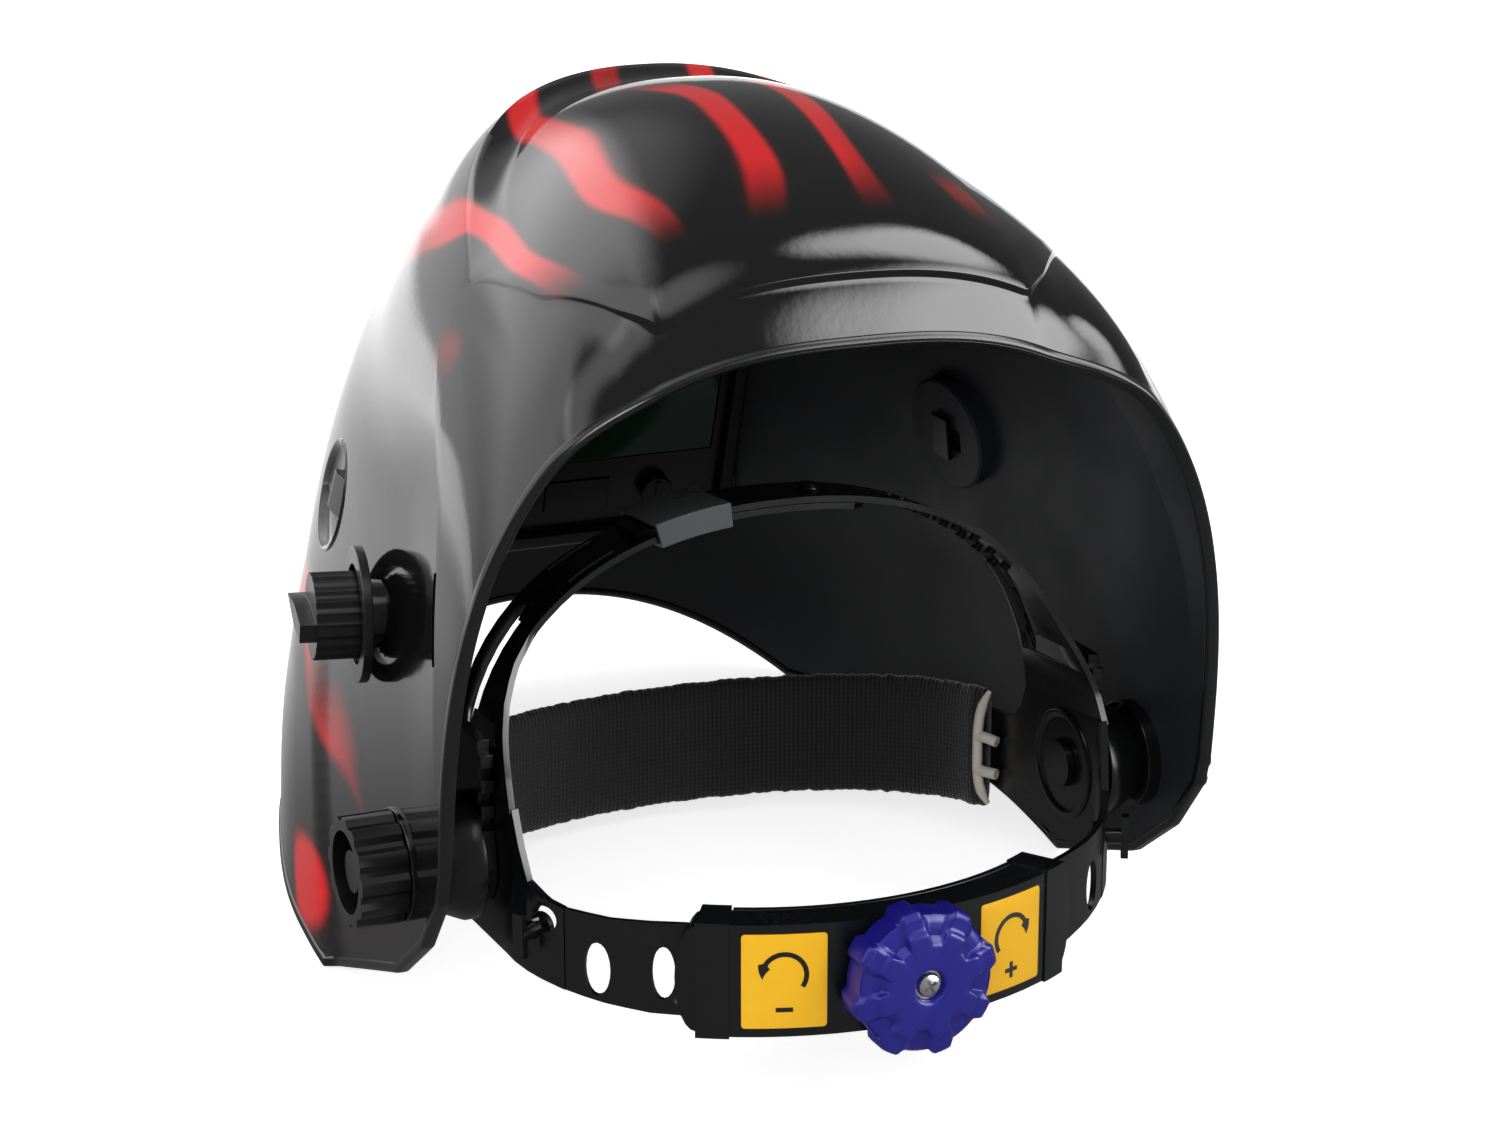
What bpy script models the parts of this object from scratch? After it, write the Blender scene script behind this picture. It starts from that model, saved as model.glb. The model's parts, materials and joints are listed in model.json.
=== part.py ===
"""Welding helmet: a face shell with an auto-darkening filter, tilting on a ratchet headgear.

The helmet stands on the lower rim of its shell. X points to the wearer's left, -Y is the way the wearer
looks and Z is up. Shell pieces are placed from the middle of the tilt axis, which runs along X through
both side pivots. Headgear pieces are placed from the same point in a frame that is tilted about X.
"""

import math

import bmesh
import bpy
import numpy as np
from mathutils import Matrix, Vector

MM = 0.001

# Fits between pieces
GAP = 0.3 * MM
BORE_PLAY = 0.5 * MM

# Shell: heights and reaches are measured from the tilt axis
PIVOT_HEIGHT = 67 * MM
SHELL_WALL = 3 * MM
ARCH_HEIGHT = 166 * MM
ARCH_BACK = 19 * MM
CROWN_HEIGHT = 213 * MM
FRONT_REACH = 231 * MM
REAR_EDGE_BACK = 40 * MM
REAR_HALF_WIDTH = 129.5 * MM
CHEEK_HALF_WIDTH = 133.5 * MM
CHIN_ARCH_RADIUS = 170 * MM
CHIN_ARCH_RISE = 28 * MM
PANEL_SINK = 5 * MM
BAND_SINK = 5 * MM
STEP_DROP = 2 * MM
CREASE_PROUD = 1.6 * MM

# Tilt pivots, listed outwards from the head
PLATE_INNER_X = 100 * MM
PLATE_THICKNESS = 2.4 * MM
STUD_RADIUS = 4 * MM
STUD_HEAD_RADIUS = 8 * MM
STUD_HEAD_THICKNESS = 2.4 * MM
TILT_STOP_THICKNESS = 4 * MM
PIVOT_BOSS_RADIUS = 17.8 * MM
PIVOT_BOSS_INNER_X = 122 * MM
PIVOT_BOSS_OUTER_X = 130.5 * MM
TENSION_KNOB_RADIUS = 17.4 * MM
TENSION_KNOB_FACE_X = 146 * MM
TENSION_KNOB_FLUTES = 12

# Outside shade control on the wearer's left
SHADE_Y = -44 * MM
SHADE_Z = 63 * MM
SHADE_RING_RADIUS = 21 * MM
SHADE_TURN_IN = math.radians(9)
SHADE_RING_THICKNESS = 3 * MM
SHADE_KNOB_RADIUS = 13.5 * MM
SHADE_KNOB_RIBS = 24
SHADE_SHAFT_RADIUS = 3 * MM
SHADE_CONTROL_RADIUS = 12 * MM
SHADE_CONTROL_LENGTH = 12 * MM

# Side slot behind the shade control
SLOT_Y = 10 * MM
SLOT_Z = 88 * MM
SLOT_LENGTH = 27 * MM
SLOT_WIDTH = 2.5 * MM
SLOT_TILT = math.radians(32)

# Side catches, each in a round recess
CATCH_Y = -118 * MM
CATCH_Z = 68 * MM
CATCH_RECESS_RADIUS = 18 * MM
CATCH_RECESS_DEPTH = 7 * MM
CATCH_FLOOR = 2.5 * MM
CATCH_TRAVEL = 5 * MM

# Window in the front of the shell, and the filter behind it
WINDOW_Z = 55 * MM
WINDOW_WIDTH = 100 * MM
WINDOW_HEIGHT = 80 * MM
COVER_LENS_MARGIN = 6 * MM
COVER_LENS_THICKNESS = 2 * MM
SURROUND_WALL = 10 * MM
SURROUND_PROUD = 4 * MM
SURROUND_DEPTH = 20 * MM
SURROUND_FLARE = 5 * MM
CARTRIDGE_WIDTH = 110 * MM
CARTRIDGE_HEIGHT = 90 * MM
CARTRIDGE_THICKNESS = 9 * MM
HOLDER_WALL = 6 * MM
HOLDER_LIP = 3 * MM
FILTER_GLASS_WIDTH = 92 * MM
FILTER_GLASS_HEIGHT = 42 * MM
FILTER_GLASS_THICKNESS = 4 * MM

# Headgear, in its own level frame
HEADGEAR_TILT = math.radians(11)
BAND_HEIGHT = 26 * MM
BAND_FRONT = 116 * MM
BAND_FRONT_Z = -16 * MM
BAND_SIDE_Z = -10 * MM
PLATE_FRONT = 46 * MM
PLATE_STRAIGHT_BACK = 18 * MM
PLATE_TOP = 20 * MM
PLATE_BOTTOM = -26.5 * MM
PLATE_BACK = 44 * MM
CROWN_STRAP_WIDTH = 27 * MM
CROWN_STRAP_Y = -13.5 * MM
CROWN_STRAP_FLARE = 25 * MM
CROWN_STRAP_TOP = 97 * MM
CROWN_STRAP_LEAN = math.radians(4.4)
STRAP_THICKNESS = 2 * MM
SWEATBAND_HEIGHT = 43 * MM
SWEATBAND_THICKNESS = 6 * MM

# Ratchet at the back of the head, bent to an arc
RATCHET_RADIUS = 116 * MM
RATCHET_BACK = 88 * MM
RATCHET_Z = -22 * MM
RATCHET_HEIGHT = 35.5 * MM
RATCHET_DEPTH = 12 * MM
RATCHET_WALL = 2.2 * MM
RATCHET_HALF_ANGLE = math.radians(32)
COVER_THICKNESS = 2.4 * MM
REAR_STRAP_HEIGHT = 30 * MM
COLLAR_LIP = 6 * MM
COLLAR_LIP_HEIGHT = 33.5 * MM
RATCHET_KNOB_RADIUS = 23.5 * MM
RATCHET_KNOB_THICKNESS = 15 * MM
RATCHET_KNOB_LOBES = 8
KNOB_REST_TURN = math.radians(-8.5)
PINION_RADIUS = 6 * MM
PINION_SHAFT_RADIUS = 4 * MM
SCREW_RADIUS = 1.5 * MM
SCREW_HEAD_RADIUS = 3.8 * MM
SCREW_HEAD_THICKNESS = 2.6 * MM

# The overall depth is centred on the origin, from the chin to the tilted ratchet knob.
REAR_REACH = (
    (RATCHET_BACK + GAP + RATCHET_KNOB_THICKNESS) * math.cos(HEADGEAR_TILT)
    - (RATCHET_Z - RATCHET_KNOB_RADIUS) * math.sin(HEADGEAR_TILT)
)
PIVOT_BACK = (FRONT_REACH - REAR_REACH) / 2

SIDES = (("left", 1), ("right", -1))
ACROSS = Matrix(((0, 0, 1), (1, 0, 0), (0, 1, 0))).to_4x4()
UPRIGHT = Matrix.Rotation(math.pi / 2, 4, "X")

for old in list(bpy.data.objects):
    bpy.data.objects.remove(old, do_unlink=True)
PARTS = bpy.data.collections.new("Welding helmet")
CUTTERS = bpy.data.collections.new("Cutters")
for collection in (PARTS, CUTTERS):
    bpy.context.scene.collection.children.link(collection)

COLOURS = {
    "gloss black": ((0.012, 0.012, 0.013), 0.12, 0.0),
    "satin black": ((0.016, 0.016, 0.017), 0.42, 0.0),
    "dull black": ((0.02, 0.02, 0.021), 0.75, 0.0),
    "knit black": ((0.014, 0.013, 0.013), 0.95, 0.0),
    "blue plastic": ((0.035, 0.03, 0.32), 0.4, 0.0),
    "clear lens": ((0.75, 0.8, 0.82), 0.05, 0.0),
    "filter green": ((0.02, 0.09, 0.06), 0.05, 0.0),
    "solar cell": ((0.02, 0.02, 0.06), 0.2, 0.0),
    "steel": ((0.6, 0.6, 0.58), 0.3, 1.0),
}


def material(name):
    """The named finish, made once."""
    found = bpy.data.materials.get(name)
    if found:
        return found
    colour, roughness, metallic = COLOURS[name]
    made = bpy.data.materials.new(name)
    made.use_nodes = True
    shader = made.node_tree.nodes["Principled BSDF"]
    shader.inputs["Base Color"].default_value = (*colour, 1)
    shader.inputs["Roughness"].default_value = roughness
    shader.inputs["Metallic"].default_value = metallic
    made.diffuse_color = (*colour, 1)
    return made


def empty(name, parent=None, matrix=Matrix()):
    """A frame that carries the pieces of one body."""
    made = bpy.data.objects.new(name, None)
    made.empty_display_size = 20 * MM
    made.parent = parent
    made.matrix_basis = matrix
    PARTS.objects.link(made)
    bpy.context.view_layer.update()
    return made


def piece(name, mesh, parent, finish=None, matrix=Matrix()):
    """A named part with a finish, or a hidden cutter when it has none."""
    made = bpy.data.objects.new(name, mesh)
    made.parent = parent
    made.matrix_basis = matrix
    if finish:
        mesh.materials.append(material(finish))
        PARTS.objects.link(made)
    else:
        made.hide_render = True
        made.display_type = "WIRE"
        CUTTERS.objects.link(made)
    return made


def closed_mesh(name, bm):
    """The mesh of a closed body, with its faces turned outwards."""
    bmesh.ops.recalc_face_normals(bm, faces=bm.faces)
    if bm.calc_volume(signed=True) < 0:
        bmesh.ops.reverse_faces(bm, faces=bm.faces)
    mesh = bpy.data.meshes.new(name)
    bm.to_mesh(mesh)
    bm.free()
    return mesh


def mesh_of(name, build):
    """A mesh made by one bmesh operation."""
    bm = bmesh.new()
    build(bm)
    return closed_mesh(name, bm)


def block(name, size, centre, parent, finish=None, bevel=0.0):
    """A box with its edges rounded by bevel."""

    def build(bm):
        bmesh.ops.create_cube(bm, size=1, matrix=Matrix.Diagonal((*size, 1)))

    made = piece(name, mesh_of(name, build), parent, finish, Matrix.Translation(centre))
    if bevel:
        rounding = made.modifiers.new("Rounded edges", "BEVEL")
        rounding.width = bevel
        rounding.segments = 2
    return made


def rod(name, radius, start, end, parent, finish=None, end_radius=None, segments=32):
    """A cylinder, or a cone when end_radius is given, from start to end."""
    start, end = Vector(start), Vector(end)
    span = end - start

    def build(bm):
        bmesh.ops.create_cone(
            bm,
            cap_ends=True,
            segments=segments,
            radius1=radius,
            radius2=radius if end_radius is None else end_radius,
            depth=span.length,
        )

    # The small turn keeps a round tool's corners off the edges that already lie in a flat face.
    turn = span.to_track_quat("Z", "Y").to_matrix().to_4x4() @ Matrix.Rotation(0.7 / segments, 4, "Z")
    made = piece(name, mesh_of(name, build), parent, finish, Matrix.Translation((start + end) / 2) @ turn)
    made.data.shade_smooth()
    made.data.set_sharp_from_angle(angle=math.radians(40))
    return made


def flat_solid(outlines, depth):
    """A flat outline, with the later outlines as holes, drawn in XY and extruded evenly along Z."""
    curve = bpy.data.curves.new("outline", "CURVE")
    curve.dimensions = "2D"
    curve.fill_mode = "BOTH"
    curve.extrude = depth / 2
    for outline in outlines:
        spline = curve.splines.new("POLY")
        spline.points.add(len(outline) - 1)
        for point, (x, y) in zip(spline.points, outline):
            point.co = (x, y, 0, 1)
        spline.use_cyclic_u = True
    drawn = bpy.data.objects.new("outline", curve)
    CUTTERS.objects.link(drawn)
    bpy.context.view_layer.update()
    graph = bpy.context.evaluated_depsgraph_get()
    mesh = bpy.data.meshes.new_from_object(drawn.evaluated_get(graph))
    bpy.data.objects.remove(drawn)
    bpy.data.curves.remove(curve)
    bm = bmesh.new()
    bm.from_mesh(mesh)
    bpy.data.meshes.remove(mesh)
    bmesh.ops.remove_doubles(bm, verts=bm.verts, dist=1e-6)
    return bm


def prism(name, outlines, depth, parent, finish=None, matrix=Matrix()):
    """A flat solid with straight sides."""
    return piece(name, closed_mesh(name, flat_solid(outlines, depth)), parent, finish, matrix)


def bent(name, outlines, thickness, path, parent, finish, matrix=Matrix(), spacing=6 * MM):
    """A flat solid bent round a path in XY. Its outlines give the distance along the path and the height."""
    path = np.asarray(path, float)
    travel = np.concatenate([[0], np.cumsum(np.linalg.norm(np.diff(path, axis=0), axis=1))])
    tangent = np.gradient(path, axis=0)
    tangent /= np.linalg.norm(tangent, axis=1)[:, None]
    bm = flat_solid(outlines, thickness)
    bmesh.ops.dissolve_limit(bm, angle_limit=math.radians(0.5), verts=bm.verts, edges=bm.edges)
    low = min(vert.co.x for vert in bm.verts)
    high = max(vert.co.x for vert in bm.verts)
    for station in np.arange(low + spacing, high - spacing / 3, spacing):
        everything = bm.verts[:] + bm.edges[:] + bm.faces[:]
        bmesh.ops.bisect_plane(bm, geom=everything, dist=1e-6, plane_co=(station, 0, 0), plane_no=(1, 0, 0))
    for vert in bm.verts:
        along, height, off = vert.co
        x, y = (np.interp(along, travel, path[:, k]) for k in (0, 1))
        aim = np.array([np.interp(along, travel, tangent[:, k]) for k in (0, 1)])
        aim /= np.linalg.norm(aim)
        vert.co = (x + aim[1] * off, y - aim[0] * off, height)
    bmesh.ops.remove_doubles(bm, verts=bm.verts, dist=1e-6)
    made = piece(name, closed_mesh(name, bm), parent, finish, matrix)
    made.data.shade_smooth()
    made.data.set_sharp_from_angle(angle=math.radians(35))
    return made


def turned(name, profile, parent, finish, matrix=Matrix(), steps=40):
    """A closed profile of (radius, height) points turned about Z."""
    bm = bmesh.new()
    verts = [bm.verts.new((radius, 0, height)) for radius, height in profile]
    for first, second in zip(verts, verts[1:] + verts[:1]):
        bm.edges.new((first, second))
    mesh = bpy.data.meshes.new(name)
    bm.to_mesh(mesh)
    bm.free()
    made = piece(name, mesh, parent, finish, matrix)
    screw = made.modifiers.new("Turned", "SCREW")
    screw.steps = steps
    screw.render_steps = steps
    screw.use_merge_vertices = True
    screw.merge_threshold = 1e-5
    screw.use_smooth_shade = True
    return made


def boolean(target, tool, operation):
    """Cuts the tool from the target, or joins it on."""
    step = target.modifiers.new(f"{operation.title()} {tool.name}", "BOOLEAN")
    step.operation = operation
    step.object = tool
    step.solver = "EXACT"


def cut(target, *tools):
    for tool in tools:
        boolean(target, tool, "DIFFERENCE")


def join(target, *tools):
    for tool in tools:
        boolean(target, tool, "UNION")


def circle(radius, count=32, centre=(0, 0)):
    angles = [2 * math.pi * i / count for i in range(count)]
    return [(centre[0] + radius * math.cos(a), centre[1] + radius * math.sin(a)) for a in angles]


def rectangle(width, height):
    return [
        (-width / 2, -height / 2),
        (width / 2, -height / 2),
        (width / 2, height / 2),
        (-width / 2, height / 2),
    ]


def lobed(radius, depth, lobes, points_per_lobe=8, sharpness=2.0):
    """A round outline with lobes: depth is how far the hollows lie inside the radius."""
    outline = []
    for i in range(lobes * points_per_lobe):
        angle = 2 * math.pi * i / (lobes * points_per_lobe)
        hollow = (0.5 - 0.5 * math.cos(lobes * angle)) ** sharpness
        reach = radius - depth * hollow
        outline.append((reach * math.cos(angle), reach * math.sin(angle)))
    return outline


def toothed(radius, depth, teeth, crest, flank, turn):
    """A round outline with flat-topped teeth, turned from having a hollow on the second axis.

    crest and flank are shares of the pitch, and depth is how far the hollows lie inside the radius.
    """
    pitch = 2 * math.pi / teeth
    corner = crest / 2 + flank
    outline = []
    for i in range(teeth):
        middle = math.pi / 2 + (i + 0.5) * pitch + turn
        for share, reach in (
            (-corner, radius - depth),
            (-crest / 2, radius),
            (0, radius),
            (crest / 2, radius),
            (corner, radius - depth),
            ((1 + corner) / 3, radius - depth),
            ((2 - corner) / 3, radius - depth),
        ):
            angle = middle + share * pitch
            outline.append((reach * math.cos(angle), reach * math.sin(angle)))
    return outline


def smooth(knots, values, at):
    """A smooth curve through values at knots, read at the given places."""
    knots, values, at = np.asarray(knots, float), np.asarray(values, float), np.asarray(at, float)
    slopes = np.gradient(values, knots, axis=0)
    i = np.clip(np.searchsorted(knots, at, side="right") - 1, 0, len(knots) - 2)
    span = knots[i + 1] - knots[i]
    u = (at - knots[i]) / span
    if values.ndim > 1:
        u, span = u[..., None], span[..., None]
    ease = u * u * (3 - 2 * u)
    start = slopes[i] * span * (u - 2 * u * u + u**3)
    end = slopes[i + 1] * span * (u**3 - u * u)
    return values[i] * (1 - ease) + values[i + 1] * ease + start + end


def lengths_along(points):
    """Each point's share of the way along a path."""
    steps = np.linalg.norm(np.diff(points, axis=0), axis=1)
    total = np.concatenate([[0], np.cumsum(steps)])
    return total / total[-1]


# The shell is drawn longer than it stands, and its rim is then trimmed flat.
RIM_TRIM = 5 * MM
# The shell's middle section runs from the rear arch over the crown and down the front to the chin.
CENTRE_LINE = np.array(
    [
        (ARCH_BACK + 0.65 * (PANEL_SINK + BAND_SINK), ARCH_HEIGHT + 0.76 * (PANEL_SINK + BAND_SINK)),
        (ARCH_BACK - 8 * MM, ARCH_HEIGHT + 22 * MM),
        (-50 * MM, CROWN_HEIGHT),
        (-110 * MM, CROWN_HEIGHT - 2 * MM),
        (-167 * MM, CROWN_HEIGHT - 28 * MM),
        (-FRONT_REACH + 23 * MM, 120 * MM),
        (-FRONT_REACH + 14 * MM, 50 * MM),
        (-FRONT_REACH + 1 * MM, -10 * MM),
        (-FRONT_REACH + 2 * MM, -PIVOT_HEIGHT - RIM_TRIM),
    ]
)
# The side wall's lower edge runs from the rear edge down a slanted corner to the rim on the table.
SIDE_EDGE = np.array(
    [
        (REAR_EDGE_BACK, 20 * MM),
        (REAR_EDGE_BACK - 1 * MM, 9 * MM),
        (REAR_EDGE_BACK - 12.5 * MM, -13 * MM),
        (REAR_EDGE_BACK - 33 * MM, -34.5 * MM),
        (-50 * MM - 1.75 * RIM_TRIM, -PIVOT_HEIGHT - RIM_TRIM),
    ]
)
CENTRE_KNOTS = lengths_along(CENTRE_LINE)
SIDE_KNOTS = lengths_along(SIDE_EDGE)
SHELL_CORE = np.array((0, -80 * MM, 50 * MM))


def shell_surface(across, along):
    """Outer surface of the left half. Each ear-to-ear section is a superellipse.

    across runs from 0 at the middle to 1 at the side's lower edge, along from 0 at the rear edge to 1 at
    the rim.
    """
    middle = smooth(CENTRE_KNOTS, CENTRE_LINE, along)
    edge_y = np.interp(along, SIDE_KNOTS, SIDE_EDGE[:, 0])
    edge_z = np.interp(along, SIDE_KNOTS, SIDE_EDGE[:, 1])
    power = 2 / smooth((0, 0.25, 0.6, 0.68, 0.82, 1), (2.7, 2.35, 2.57, 2.7, 2.75, 2.4), along)
    half_width = smooth(
        (0, 0.5, 1), (REAR_HALF_WIDTH, REAR_HALF_WIDTH + 1 * MM, CHEEK_HALF_WIDTH), along
    )
    angle = across * math.pi / 2
    inwards = np.maximum(np.cos(angle), 0) ** power
    x = half_width * np.sin(angle) ** power
    y = edge_y + (middle[..., 0] - edge_y) * inwards
    z = edge_z + (middle[..., 1] - edge_z) * inwards
    return np.stack([x, y, z], axis=-1)


def eased(share):
    """0 to 1 with a soft start and end."""
    share = np.clip(share, 0, 1)
    return share * share * (3 - 2 * share)


def panel_lines(across):
    """Places along the shell of the crown panel's rear step and of the foot and top of its front riser.

    Past the panel's corner the step runs on as the crease ahead of the rear edge.
    """
    step = np.interp(
        across,
        (0, 0.25, 0.31, 0.415, 0.447, 0.466, 0.54, 0.6, 0.69, 0.82, 1),
        (0.042, 0.04, 0.07, 0.137, 0.188, 0.243, 0.272, 0.238, 0.165, 0.115, 0.09),
    )
    top = smooth(
        (0, 0.1, 0.2, 0.255, 0.345, 0.417, 0.466, 0.54, 1),
        (0.41, 0.408, 0.395, 0.378, 0.344, 0.295, 0.255, 0.2, 0.1),
        across,
    )
    top = np.maximum(top, step + np.interp(across, (0.466, 0.6), (0.012, 0.08)))
    riser = np.interp(across, (0, 0.25, 0.32, 0.385, 0.43, 0.466), (0.03, 0.03, 0.047, 0.066, 0.05, 0.01))
    return step, np.maximum(top - riser, (step + top) / 2), top


def shell_rows(band_rows, panel_rows, riser_rows, front_rows, across):
    """Rows of places along the shell, each with how far the skin is sunk there below the plain surface."""
    step, foot, top = panel_lines(across)
    rim = (PANEL_SINK + BAND_SINK) * eased((0.48 - across) / 0.22)
    panel = PANEL_SINK * eased((0.48 - across) / 0.06)
    crease = CREASE_PROUD * np.interp(across, (0.5, 0.62, 0.82, 0.94), (0, 1, 1, 0))
    drop = eased((0.33 - across) / 0.08)
    fill = eased((0.48 - across) / 0.17)
    band = PANEL_SINK * fill + STEP_DROP * drop
    rows = []
    for k in range(band_rows + 1):
        share = k / band_rows
        rows.append((step * share, rim + (band - rim) * share - crease * share))
    rows.append((step + 0.004, panel + 0.3 * (band - panel)))
    start = step + 0.25 * np.minimum(foot - step, 0.06)
    for k in range(panel_rows + 1):
        rows.append((start + (foot - start) * k / panel_rows, panel))
    for k in range(1, riser_rows + 1):
        share = k / riser_rows
        rows.append((foot + (top - foot) * share, panel * (1 - share * share)))
    for k in range(1, front_rows + 1):
        rows.append((top + (1 - top) * k / front_rows, 0 * across))
    past_crease = [
        (along, sink - crease * np.clip(1 - (along - step) / 0.15, 0, 1) ** 2)
        for along, sink in rows[band_rows + 1 :]
    ]
    return rows[: band_rows + 1] + past_crease


def shell_grid(band_rows, panel_rows, riser_rows, front_rows):
    """Outer surface points of the left half, with the sunk crown panel and the crease on the side."""
    across = np.concatenate(
        [
            np.linspace(0, 0.25, 6),
            (0.28, 0.31),
            np.linspace(0.345, 0.466, 6),
            np.linspace(0.5, 0.6, 4),
            np.linspace(0.66, 1, 6),
        ]
    )
    grid = []
    for along, sink in shell_rows(band_rows, panel_rows, riser_rows, front_rows, across):
        points = shell_surface(across, along)
        inwards = SHELL_CORE - points
        inwards /= np.linalg.norm(inwards, axis=1)[:, None]
        inwards[0, 0] = 0
        grid.append(points + inwards * sink[:, None])
    return np.array(grid)


def skin_point(y, z):
    """The left outer surface point at a side-view place, and its outward direction."""
    across, along = np.meshgrid(np.linspace(0.02, 1, 160), np.linspace(0, 1, 240), indexing="ij")
    points = shell_surface(across, along)
    away = (points[..., 1] - y) ** 2 + (points[..., 2] - z) ** 2
    i, k = np.unravel_index(np.argmin(away), away.shape)
    i, k = np.clip(i, 1, 158), np.clip(k, 1, 238)
    normal = np.cross(points[i + 1, k] - points[i - 1, k], points[i, k + 1] - points[i, k - 1])
    normal = Vector(normal).normalized()
    if normal.x < 0:
        normal = -normal
    return Vector((points[i, k][0], y, z)), normal


def grid_mesh(name, rows):
    """Faces between neighbouring rows of points."""
    bm = bmesh.new()
    verts = [[bm.verts.new(point) for point in row] for row in rows]
    for lower, upper in zip(verts, verts[1:]):
        for k in range(len(lower) - 1):
            bm.faces.new((lower[k], lower[k + 1], upper[k + 1], upper[k]))
    bmesh.ops.recalc_face_normals(bm, faces=bm.faces)
    middle = min(bm.faces, key=lambda face: abs(face.calc_center_median().y))
    if middle.normal.dot(middle.calc_center_median() - Vector(SHELL_CORE)) < 0:
        bmesh.ops.reverse_faces(bm, faces=bm.faces)
    mesh = bpy.data.meshes.new(name)
    bm.to_mesh(mesh)
    bm.free()
    return mesh


def swept(name, rings, parent, finish):
    """A closed solid through like rings of points, with flat ends."""
    bm = bmesh.new()
    verts = [[bm.verts.new(point) for point in ring] for ring in rings]
    for ring, following in zip(verts, verts[1:]):
        for k in range(len(ring)):
            other = (k + 1) % len(ring)
            bm.faces.new((ring[k], ring[other], following[other], following[k]))
    bm.faces.new(verts[0])
    bm.faces.new(verts[-1])
    mesh = closed_mesh(name, bm)
    mesh.shade_smooth()
    mesh.set_sharp_from_angle(angle=math.radians(45))
    return piece(name, mesh, parent, finish)


# Frames
pivot_point = Matrix.Translation((0, PIVOT_BACK, PIVOT_HEIGHT))
shell_frame = empty("shell frame", None, pivot_point)
headgear_frame = empty("headgear frame", None, pivot_point @ Matrix.Rotation(HEADGEAR_TILT, 4, "X"))
lean = math.atan2(9 * MM, 70 * MM)
window_front = smooth(CENTRE_LINE[::-1, 1][:6], CENTRE_LINE[::-1, 0][:6], WINDOW_Z)
window_frame = empty(
    "window frame",
    shell_frame,
    Matrix.Translation((0, float(window_front), WINDOW_Z)) @ Matrix.Rotation(-lean, 4, "X"),
)
# The shade control faces a little forwards, square to the wall.
shade_turn = Matrix.Rotation(-SHADE_TURN_IN, 4, "Z")
shade_aim = shade_turn @ Vector((1, 0, 0))
shade_centre = skin_point(SHADE_Y, SHADE_Z)[0]
ring_spots = [
    (SHADE_Y + SHADE_RING_RADIUS * math.cos(a), SHADE_Z + SHADE_RING_RADIUS * math.sin(a))
    for a in np.linspace(0, 2 * math.pi, 13)
]
shade_edges = [(skin_point(*spot)[0] - shade_centre) @ shade_aim for spot in ring_spots]
shade_seat = max(shade_edges) + 0.5 * MM
boss_back = min(shade_edges) - SHELL_WALL - 1 * MM - shade_seat
shade_frame = empty(
    "shade frame", shell_frame, Matrix.Translation(shade_centre + shade_aim * shade_seat) @ shade_turn
)

# Shell: half the outer surface, mirrored, given its wall, then fitted with seats and openings
shell = piece("shell", grid_mesh("shell", shell_grid(3, 5, 2, 12)), shell_frame, "gloss black")
mirror = shell.modifiers.new("Right half", "MIRROR")
mirror.merge_threshold = 1e-5
wall = shell.modifiers.new("Wall", "SOLIDIFY")
wall.thickness = SHELL_WALL
wall.offset = -1
# Flat faces cut more cleanly than the bent four-sided ones.
shell.modifiers.new("Flat faces", "TRIANGULATE")
shell.data.shade_smooth()
shell.data.set_sharp_from_angle(angle=math.radians(28))

# One tool trims the rim flat and arches it under the chin.
chin_arch_z = -PIVOT_HEIGHT + CHIN_ARCH_RISE - CHIN_ARCH_RADIUS
chin_arch_angle = math.acos(1 - CHIN_ARCH_RISE / CHIN_ARCH_RADIUS)
trim_outline = [
    (CHIN_ARCH_RADIUS * math.sin(a), chin_arch_z + CHIN_ARCH_RADIUS * math.cos(a))
    for a in np.linspace(-chin_arch_angle, chin_arch_angle, 25)
]
trim_outline += [
    (2 * CHEEK_HALF_WIDTH, -PIVOT_HEIGHT),
    (2 * CHEEK_HALF_WIDTH, -PIVOT_HEIGHT - 60 * MM),
    (-2 * CHEEK_HALF_WIDTH, -PIVOT_HEIGHT - 60 * MM),
    (-2 * CHEEK_HALF_WIDTH, -PIVOT_HEIGHT),
]
cut(shell, prism("rim trim", [trim_outline], 4 * FRONT_REACH, shell_frame, None, UPRIGHT))

for label, side in SIDES:
    join(
        shell,
        rod(
            f"pivot boss {label}",
            PIVOT_BOSS_RADIUS,
            (side * PIVOT_BOSS_INNER_X, 0, 0),
            (side * PIVOT_BOSS_OUTER_X, 0, 0),
            shell_frame,
        ),
    )
join(
    shell,
    rod(
        "shade boss",
        SHADE_RING_RADIUS,
        (boss_back, 0, 0),
        (0, 0, 0),
        shade_frame,
    ),
)
surround_width = WINDOW_WIDTH + 2 * (COVER_LENS_MARGIN + SURROUND_WALL)
surround_height = WINDOW_HEIGHT + 2 * (COVER_LENS_MARGIN + SURROUND_WALL)
surround = block(
    "lens surround",
    (surround_width, SURROUND_DEPTH, surround_height),
    (0, SURROUND_DEPTH / 2 - SURROUND_PROUD, 0),
    window_frame,
    bevel=3 * MM,
)
for vert in surround.data.vertices:
    if vert.co.y > 0:
        vert.co.x *= 1 + 2 * SURROUND_FLARE / surround_width
        vert.co.z *= 1 + 2 * SURROUND_FLARE / surround_height
join(shell, surround)
catch_frames = {}
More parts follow.
